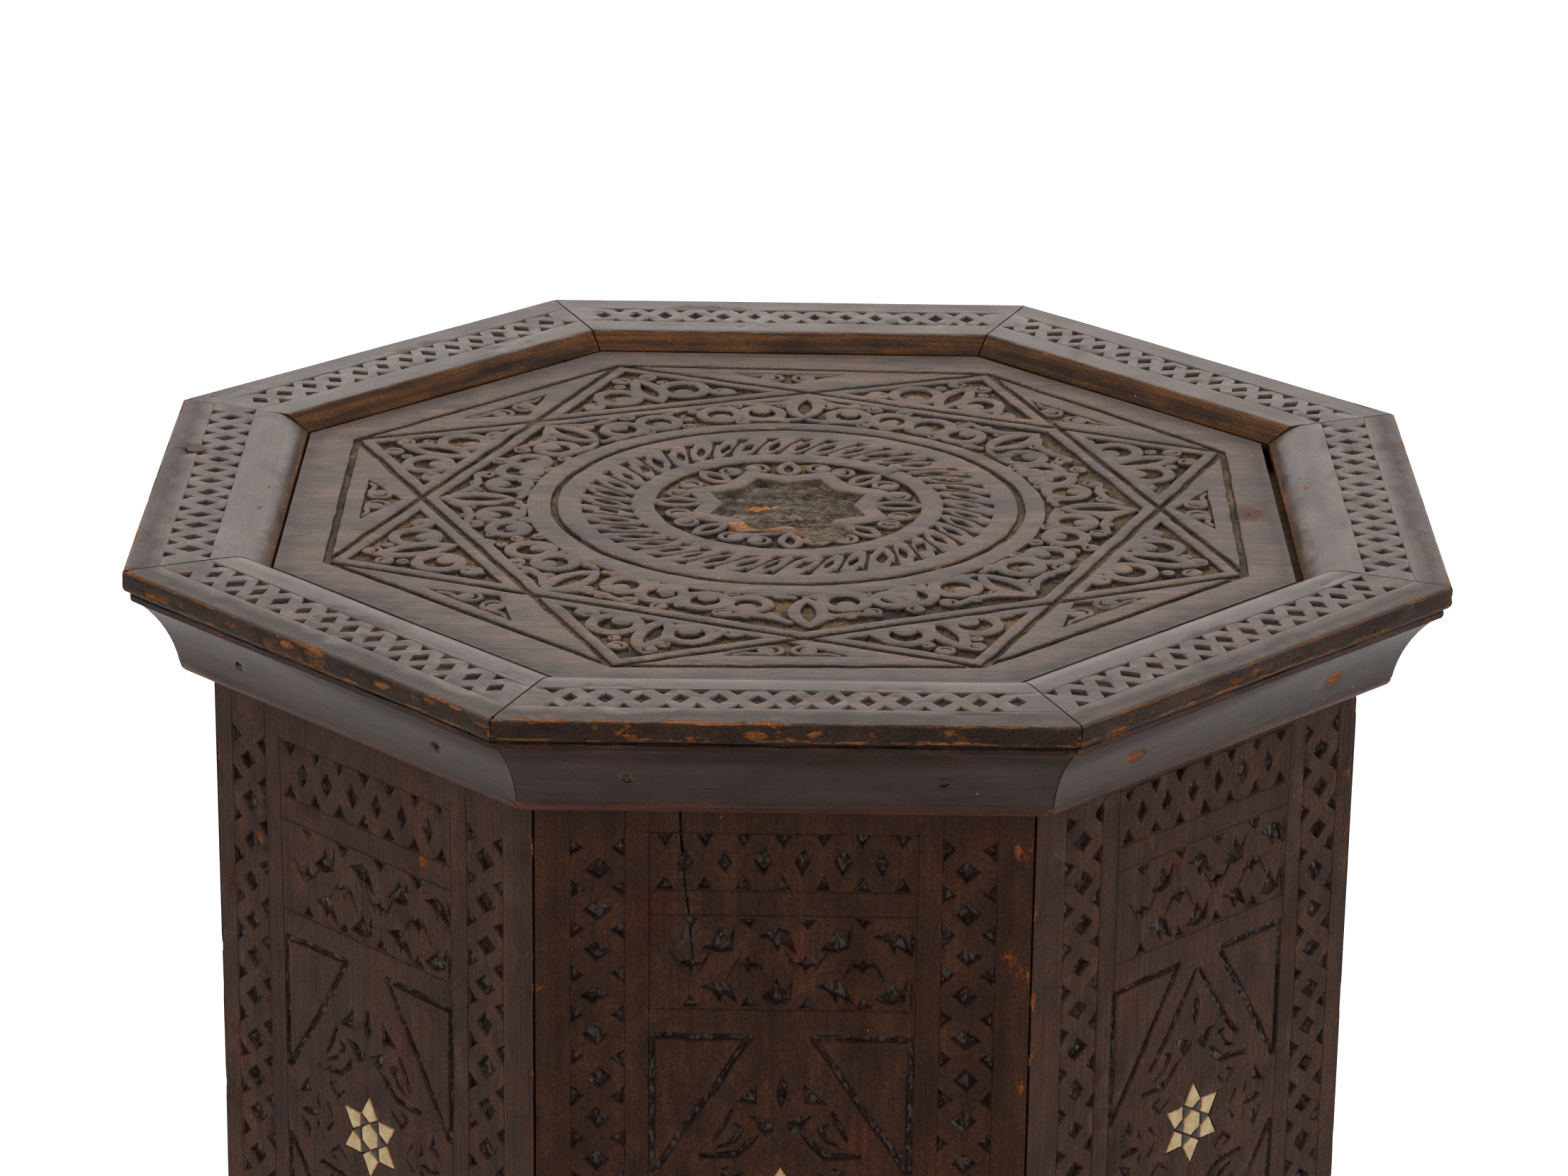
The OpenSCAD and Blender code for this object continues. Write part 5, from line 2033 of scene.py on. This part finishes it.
@dataclass(frozen=True)
class Wood:
    """Stained and varnished wood, old and handled."""

    name: str
    dark: Colour
    light: Colour
    bare: Colour = (0.42, 0.13, 0.03)
    aged: Colour = (0.12, 0.1, 0.075)
    warm: Colour = (0.12, 0.028, 0.015)
    dust_tint: Colour = (0.16, 0.105, 0.055)
    edge_wear_and_highlight_tint: Colour = (0.2, 0.08, 0.03)
    hollow_and_shade_tint: Colour = (0.02, 0.012, 0.009)
    hollow_shade_share: float = 0.5
    grime_and_shade_tint: Colour = (0.014, 0.008, 0.006)
    rough: float = 0.5
    rough_spread: float = 0.12
    cut_rough: float = 0.6
    gloss: float = 0.2
    coat: float = 0.7
    coat_sunk: float = 0.1
    coat_rough: float = 0.3
    dusty: float = 0.6
    specks_and_glints: float = 0.6
    worn: float = 0.5
    bump: float = 0.4
    cut_bump: float = 0.6
    pores: float = 0.5

    def material(self, effects: Effects) -> bpy.types.Material:
        """Makes the material.

        Args:
            effects: the shared groups.

        Returns:
            The material.
        """
        made, w, shader = started(self.name)
        lay = w.layer("lay").outputs["Vector"]
        read = {layer: w.layer(layer.value).outputs["Fac"] for layer in Layer}
        grain = w.group(effects.grain, {"Lay": lay}).outputs
        rubbing = {"Lay": lay, "Edge": read[Layer.ARRIS], "Bare": read[Layer.BARE], "Amount": self.worn}
        wear = w.group(effects.wear, rubbing).outputs
        dust = w.group(effects.dust, {"Lay": lay, "Sunk": read[Layer.SUNK], "Amount": self.dusty}).outputs
        figure = w.between(0.55, grain["Streaks"], grain["Clouds"])
        colour = w.mix(figure, self.dark, self.light)
        colour = w.mix(w.times(grain["Pores"], self.pores), colour, self.hollow_and_shade_tint)
        mottle = w.noise(lay, (0.02, 0.03, 0.03), 4, 0.5)
        warm = w.math("ADD", read[Layer.WARM], w.times(w.step(mottle, 0.55, 0.8), 0.25), clamp=True)
        tinted = w.mix(grain["Streaks"], tuple(0.5 * c for c in self.warm), tuple(1.3 * c for c in self.warm))
        colour = w.mix(warm, colour, tinted)
        cloudy = w.step(w.between(0.5, mottle, grain["Clouds"]), 0.25, 0.6, (0.6, 1))
        # darkens where dirt lies and where shade is painted into creases and under overhangs
        colour = w.mix(w.times(read[Layer.GRIME], cloudy), colour, self.grime_and_shade_tint)
        sunk = w.step(read[Layer.SUNK], 0.05, 0.6)
        # darkens the cuts: dark varnish pooled in them, and painted shade at the foot of their walls
        colour = w.mix(w.times(sunk, self.hollow_shade_share), colour, self.hollow_and_shade_tint)
        colour = w.mix(dust["Dust"], colour, self.dust_tint)
        streaked = w.between(0.6, grain["Streaks"], mottle)
        dull, pale = (tuple(by * c for c in self.aged) for by in (0.5, 1.4))
        aged = w.mix(w.step(streaked, 0.3, 0.7), dull, pale)
        colour = w.mix(read[Layer.AGED], colour, aged)
        # lightens edges: rubbed wear, and painted highlight along the arris
        colour = w.mix(wear["Rubbed and highlit"], colour, self.edge_wear_and_highlight_tint)
        bare = w.mix(grain["Streaks"], tuple(0.4 * c for c in self.bare), self.bare)
        colour = w.mix(wear["Bare"], colour, bare)
        fine = w.noise(lay, (0.9, 1.7, 1.7), 4)
        shade = w.mix(w.step(fine, 0.3, 0.7), (0.62, 0.6, 0.58), (1.35, 1.36, 1.38))
        colour = w.mix(1.0, colour, shade, "MULTIPLY")
        blotch = w.noise(lay, (0.045, 0.09, 0.09), 5, 0.8)
        cast = w.mix(w.step(blotch, 0.3, 0.7), (1.28, 1.22, 1.16), (0.74, 0.75, 0.78))
        colour = w.mix(1.0, colour, cast, "MULTIPLY")
        # pale specks: dust, and painted glints
        colour = w.mix(w.times(dust["Specks and glints"], self.specks_and_glints), colour, (0.55, 0.5, 0.4))
        w.put(shader.inputs["Base Color"], colour)
        smudge = w.noise(lay, (0.03, 0.05, 0.05), 5, 1)
        rough = w.math("ADD", self.rough, w.times(w.math("SUBTRACT", smudge, 0.5), 2 * self.rough_spread))
        rough = w.between(sunk, rough, self.cut_rough)
        for mask in (dust["Dust"], read[Layer.AGED], wear["Bare"]):
            rough = w.between(w.times(mask, 0.8), rough, 0.8)
        w.put(shader.inputs["Roughness"], rough)
        shader.inputs["Specular IOR Level"].default_value = self.gloss
        gouge = w.noise(lay, (0.34, 0.6, 0.6), 3, 0.6)
        glint = w.times(w.step(gouge, 0.45, 0.6), self.coat_sunk)
        shine = w.times(w.between(sunk, self.coat, glint), w.step(smudge, 0.25, 0.6, (0.65, 1)))
        for mask in (read[Layer.DULL], read[Layer.WARM], dust["Dust"], read[Layer.AGED], wear["Bare"]):
            shine = w.times(shine, w.math("SUBTRACT", 1.0, mask, clamp=True))
        w.put(shader.inputs["Coat Weight"], shine)
        shader.inputs["Coat Roughness"].default_value = self.coat_rough
        height = w.math("ADD", w.times(grain["Streaks"], 0.5), w.times(grain["Pores"], -0.8))
        grit = w.noise(lay, (0.6, 1.4, 1.4), 3)
        height = w.math("ADD", height, w.times(grit, 1.2))
        height = w.math("ADD", height, w.times(w.times(gouge, sunk), 5 * self.cut_bump))
        bump = w.node("ShaderNodeBump", {"Height": height, "Strength": self.bump, "Distance": 0.0004})
        w.put(shader.inputs["Normal"], bump.outputs[0])
        return made


@dataclass(frozen=True)
class Bone:
    """Polished bone, yellowed, with burnt edges."""

    name: str = "bone"
    light: Colour = (0.62, 0.47, 0.23)
    dark: Colour = (0.42, 0.27, 0.1)
    edge: Colour = (0.3, 0.09, 0.02)

    def material(self) -> bpy.types.Material:
        """Makes the material.

        Returns:
            The material.
        """
        made, w, shader = started(self.name)
        lay = w.layer("lay").outputs["Vector"]
        edge = w.layer(Layer.ARRIS.value).outputs["Fac"]
        cloud = w.noise(lay, (0.18, 0.18, 0.18), 4)
        fibre = w.noise(lay, (0.4, 3.5, 1), 4)
        colour = w.mix(w.step(w.between(0.4, cloud, fibre), 0.35, 0.65), self.dark, self.light)
        ragged = w.math("ADD", edge, w.times(w.math("SUBTRACT", w.noise(lay, 0.7, 3), 0.5), 0.7))
        colour = w.mix(w.step(ragged, 0.5, 0.95), colour, self.edge)
        spots = w.step(w.noise(lay, 1.6, 2), 0.66, 0.74)
        colour = w.mix(w.times(spots, 0.6), colour, (0.12, 0.05, 0.015))
        w.put(shader.inputs["Base Color"], colour)
        w.put(shader.inputs["Roughness"], w.between(cloud, 0.2, 0.45))
        shader.inputs["Specular IOR Level"].default_value = 0.4
        bump = w.node("ShaderNodeBump", {"Height": fibre, "Strength": 0.3, "Distance": 0.0003})
        w.put(shader.inputs["Normal"], bump.outputs[0])
        return made


@dataclass(frozen=True)
class Iron:
    """Nail heads, rusted dark."""

    name: str = "iron"

    def material(self) -> bpy.types.Material:
        """Makes the material.

        Returns:
            The material.
        """
        made, w, shader = started(self.name)
        place = w.node("ShaderNodeTexCoord").outputs["Object"]
        rust = w.step(w.noise(place, 900, 4), 0.4, 0.62)
        w.put(shader.inputs["Base Color"], w.mix(rust, (0.05, 0.045, 0.04), (0.09, 0.035, 0.015)))
        w.put(shader.inputs["Metallic"], w.between(rust, 0.8, 0.1))
        w.put(shader.inputs["Roughness"], w.between(rust, 0.45, 0.85))
        bump = w.node("ShaderNodeBump", {"Height": rust, "Strength": 0.4, "Distance": 0.0003})
        w.put(shader.inputs["Normal"], bump.outputs[0])
        return made


@dataclass(frozen=True)
class InsideWood:
    """Unstained wood of the parts inside, which carry no layers of their own."""

    name: str
    stretch: Colour
    dark: Colour = (0.1, 0.055, 0.028)
    light: Colour = (0.24, 0.14, 0.075)

    def material(self, effects: Effects) -> bpy.types.Material:
        """Makes the material.

        Args:
            effects: the shared groups.

        Returns:
            The material.
        """
        made, w, shader = started(self.name)
        place = w.node("ShaderNodeTexCoord").outputs["Object"]
        lay = w.stretched(place, tuple(1000 * c for c in self.stretch))
        grain = w.group(effects.grain, {"Lay": lay}).outputs
        figure = w.between(0.5, grain["Streaks"], grain["Clouds"])
        colour = w.mix(figure, self.dark, self.light)
        colour = w.mix(w.times(grain["Pores"], 0.6), colour, (0.04, 0.02, 0.01))
        w.put(shader.inputs["Base Color"], colour)
        w.put(shader.inputs["Roughness"], w.between(grain["Streaks"], 0.8, 0.6))
        shader.inputs["Specular IOR Level"].default_value = 0.3
        bump = w.node("ShaderNodeBump", {"Height": grain["Streaks"], "Strength": 0.4, "Distance": 0.0004})
        w.put(shader.inputs["Normal"], bump.outputs[0])
        return made


# ------------ stage


@dataclass
class View:
    """Camera at the height of a standing person, looking down on the top."""

    place: Colour = (-0.00195, -1.66416, 1.06740)
    pitch: float = 20.234
    yaw: float = 0.034
    roll: float = 0.719
    lens: float = 119.75
    film: float = 36.0

    def build(self) -> bpy.types.Object:
        """Makes the camera.

        Returns:
            The finished piece.
        """
        p, y, q = (math.radians(v) for v in (self.pitch, self.yaw, self.roll))
        ahead = Vector((math.sin(y) * math.cos(p), math.cos(y) * math.cos(p), -math.sin(p)))
        level = Vector((math.cos(y), -math.sin(y), 0))
        up = level.cross(ahead)
        right = math.cos(q) * level + math.sin(q) * up
        up = -math.sin(q) * level + math.cos(q) * up
        data = bpy.data.cameras.new("view")
        data.lens, data.sensor_width = self.lens, self.film
        data.clip_start, data.clip_end = 0.05, 50
        made = bpy.data.objects.new("view", data)
        turn = Matrix((right, up, -ahead)).transposed().to_4x4()
        made.matrix_world = Matrix.Translation(self.place) @ turn
        bpy.context.scene.collection.objects.link(made)
        bpy.context.scene.camera = made
        return made


@dataclass
class Studio:
    """Pale floor, white surround and soft lamps."""

    floor_size: float = 12.0
    ambient: float = 0.5
    lift: float = 0.55

    def build(self) -> None:
        """Makes the floor, the surround and the lamps."""
        self.floor()
        self.surround()
        self.lamp("lamp_over", (0.0, 0.5, 2.4), (0, 0.05, 0.45), (2.2, 1.6), 26)
        self.lamp("lamp_left", (-1.9, -0.9, 1.9), (0, 0, 0.4), (1.2, 1.2), 9)
        self.lamp("lamp_right", (2.2, -0.3, 1.7), (0, 0, 0.4), (1.2, 1.2), 12)

    def floor(self) -> None:
        """Makes the floor, white to the eye but for the shadow on it."""
        half = self.floor_size / 2
        mesh = bpy.data.meshes.new("floor")
        corners = [(-half, -half, 0), (half, -half, 0), (half, half, 0), (-half, half, 0)]
        mesh.from_pydata(corners, [], [(0, 1, 2, 3)])
        made, w, shader = started("floor")
        path = w.node("ShaderNodeLightPath").outputs
        seen = w.math("MAXIMUM", path["Is Camera Ray"], path["Is Glossy Ray"])
        seen = w.math("MAXIMUM", seen, path["Is Transmission Ray"])
        shader.inputs["Base Color"].default_value = (0.86, 0.86, 0.86, 1)
        shader.inputs["Roughness"].default_value = 0.9
        shader.inputs["Specular IOR Level"].default_value = 0.1
        shader.inputs["Emission Color"].default_value = (1, 1, 1, 1)
        w.put(shader.inputs["Emission Strength"], w.times(seen, self.lift))
        mesh.materials.append(made)
        piece = bpy.data.objects.new("floor", mesh)
        bpy.context.scene.collection.objects.link(piece)

    def surround(self) -> None:
        """Sets the world: white to the eye and in reflections, an even light otherwise."""
        world = bpy.data.worlds.new("surround")
        bpy.context.scene.world = world
        world.use_nodes = True
        w = Wiring(world.node_tree)
        path = w.node("ShaderNodeLightPath").outputs
        seen = w.math("MAXIMUM", path["Is Camera Ray"], path["Is Glossy Ray"])
        seen = w.math("MAXIMUM", seen, path["Is Transmission Ray"])
        back = world.node_tree.nodes["Background"]
        back.inputs["Color"].default_value = (1, 1, 1, 1)
        w.put(back.inputs["Strength"], w.between(seen, self.ambient, 1.0))

    def lamp(self, name: str, place: Colour, aim: Colour, size: Point, power: float) -> None:
        """Makes a soft lamp.

        Args:
            name: its name.
            place: where it hangs.
            aim: the point it faces.
            size: its width and height.
            power: its power in watts.
        """
        data = bpy.data.lights.new(name, "AREA")
        data.shape, data.size, data.size_y, data.energy = "RECTANGLE", *size, power
        made = bpy.data.objects.new(name, data)
        made.location = place
        made.rotation_euler = (Vector(aim) - Vector(place)).to_track_quat("-Z", "Y").to_euler()
        bpy.context.scene.collection.objects.link(made)


class Table:
    """The whole table, dressed piece by piece."""

    def __init__(self) -> None:
        """Makes the finishes."""
        effects = Effects(grain_group(), wear_group(), dust_group())
        self.board = Wood(
            "board_wood", (0.043, 0.024, 0.0155), (0.128, 0.075, 0.048), bare=(0.42, 0.18, 0.055),
            aged=(0.115, 0.088, 0.064), warm=(0.085, 0.027, 0.011), hollow_and_shade_tint=(0.013, 0.007, 0.004),
            dust_tint=(0.2, 0.118, 0.055), hollow_shade_share=0.97, dusty=0.95, coat=0.36, coat_rough=0.33,
            bump=1.0, pores=0.9,
        ).material(effects)
        self.rim = Wood(
            "rim_wood", (0.042, 0.025, 0.0165), (0.1, 0.059, 0.041), bare=(0.29, 0.11, 0.036),
            warm=(0.075, 0.03, 0.01), gloss=0.06, coat=0.88, coat_rough=0.22, hollow_and_shade_tint=(0.046, 0.035, 0.028),
            dust_tint=(0.08, 0.07, 0.058), hollow_shade_share=0.8, dusty=0.3, worn=0.2,
        ).material(effects)
        self.cornice = Wood(
            "cornice_wood", (0.018, 0.0075, 0.005), (0.038, 0.017, 0.012), bare=(0.3, 0.1, 0.03),
            warm=(0.07, 0.022, 0.01), gloss=0.14, coat=0.18, coat_rough=0.22,
        ).material(effects)
        self.side = Wood(
            "side_wood", (0.031, 0.0125, 0.0068), (0.056, 0.0245, 0.0138), bare=(0.3, 0.09, 0.025),
            gloss=0.05, coat=0.05, coat_sunk=0.5, coat_rough=0.14, hollow_and_shade_tint=(0.03, 0.0175, 0.016),
            hollow_shade_share=0.8, dusty=0.04, worn=0.35, bump=0.6, cut_bump=2.0, edge_wear_and_highlight_tint=(0.11, 0.035, 0.012),
            specks_and_glints=0.35,
        ).material(effects)
        self.black = Wood(
            "black_wood", (0.012, 0.009, 0.008), (0.028, 0.022, 0.02), worn=0.2, dusty=0, coat=0.2
        ).material(effects)
        self.bone = Bone().material()
        self.iron = Iron().material()
        self.peg = InsideWood(
            "peg_wood", (0.05, 0.05, 1), (0.05, 0.028, 0.016), (0.13, 0.075, 0.045)
        ).material(effects)
        self.upright = InsideWood("inner_wood_upright", (1, 1, 0.05)).material(effects)
        self.level = InsideWood("inner_wood_level", (0.4, 0.4, 1)).material(effects)

    def carried(self, node: str, finish: bpy.types.Material) -> None:
        """Gives a solid that shows as it is its finish.

        Args:
            node: name of the solid.
            finish: the finish.
        """
        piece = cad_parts[node]
        for slot in piece.material_slots:
            slot.material = finish
        log.info("%s: finish %s", node, finish.name)

    def build(self) -> None:
        """Makes every piece."""
        TopBoard().build(self.board)
        rim, cornice, side, inlay = Rim(), Cornice(), SidePanel(), Inlay()
        for face in FACES:
            rim.build(face, self.rim)
            cornice.build(face, self.cornice)
            side.build(face, self.side)
            inlay.build(face, False, self.bone)
            inlay.build(face, True, self.black)
            self.carried(f"ledger_{face}", self.level)
            self.carried(f"corner_block_{face}", self.upright)
        self.carried("rim_pegs", self.peg)
        self.carried("cornice_nails", self.iron)


def main() -> None:
    """Builds the view, the studio and the table."""
    logging.basicConfig(level=logging.INFO, format="%(message)s")
    View().build()
    Studio().build()
    bpy.context.scene.view_settings.view_transform = "Standard"
    Table().build()


if __name__ == "__main__":
    main()
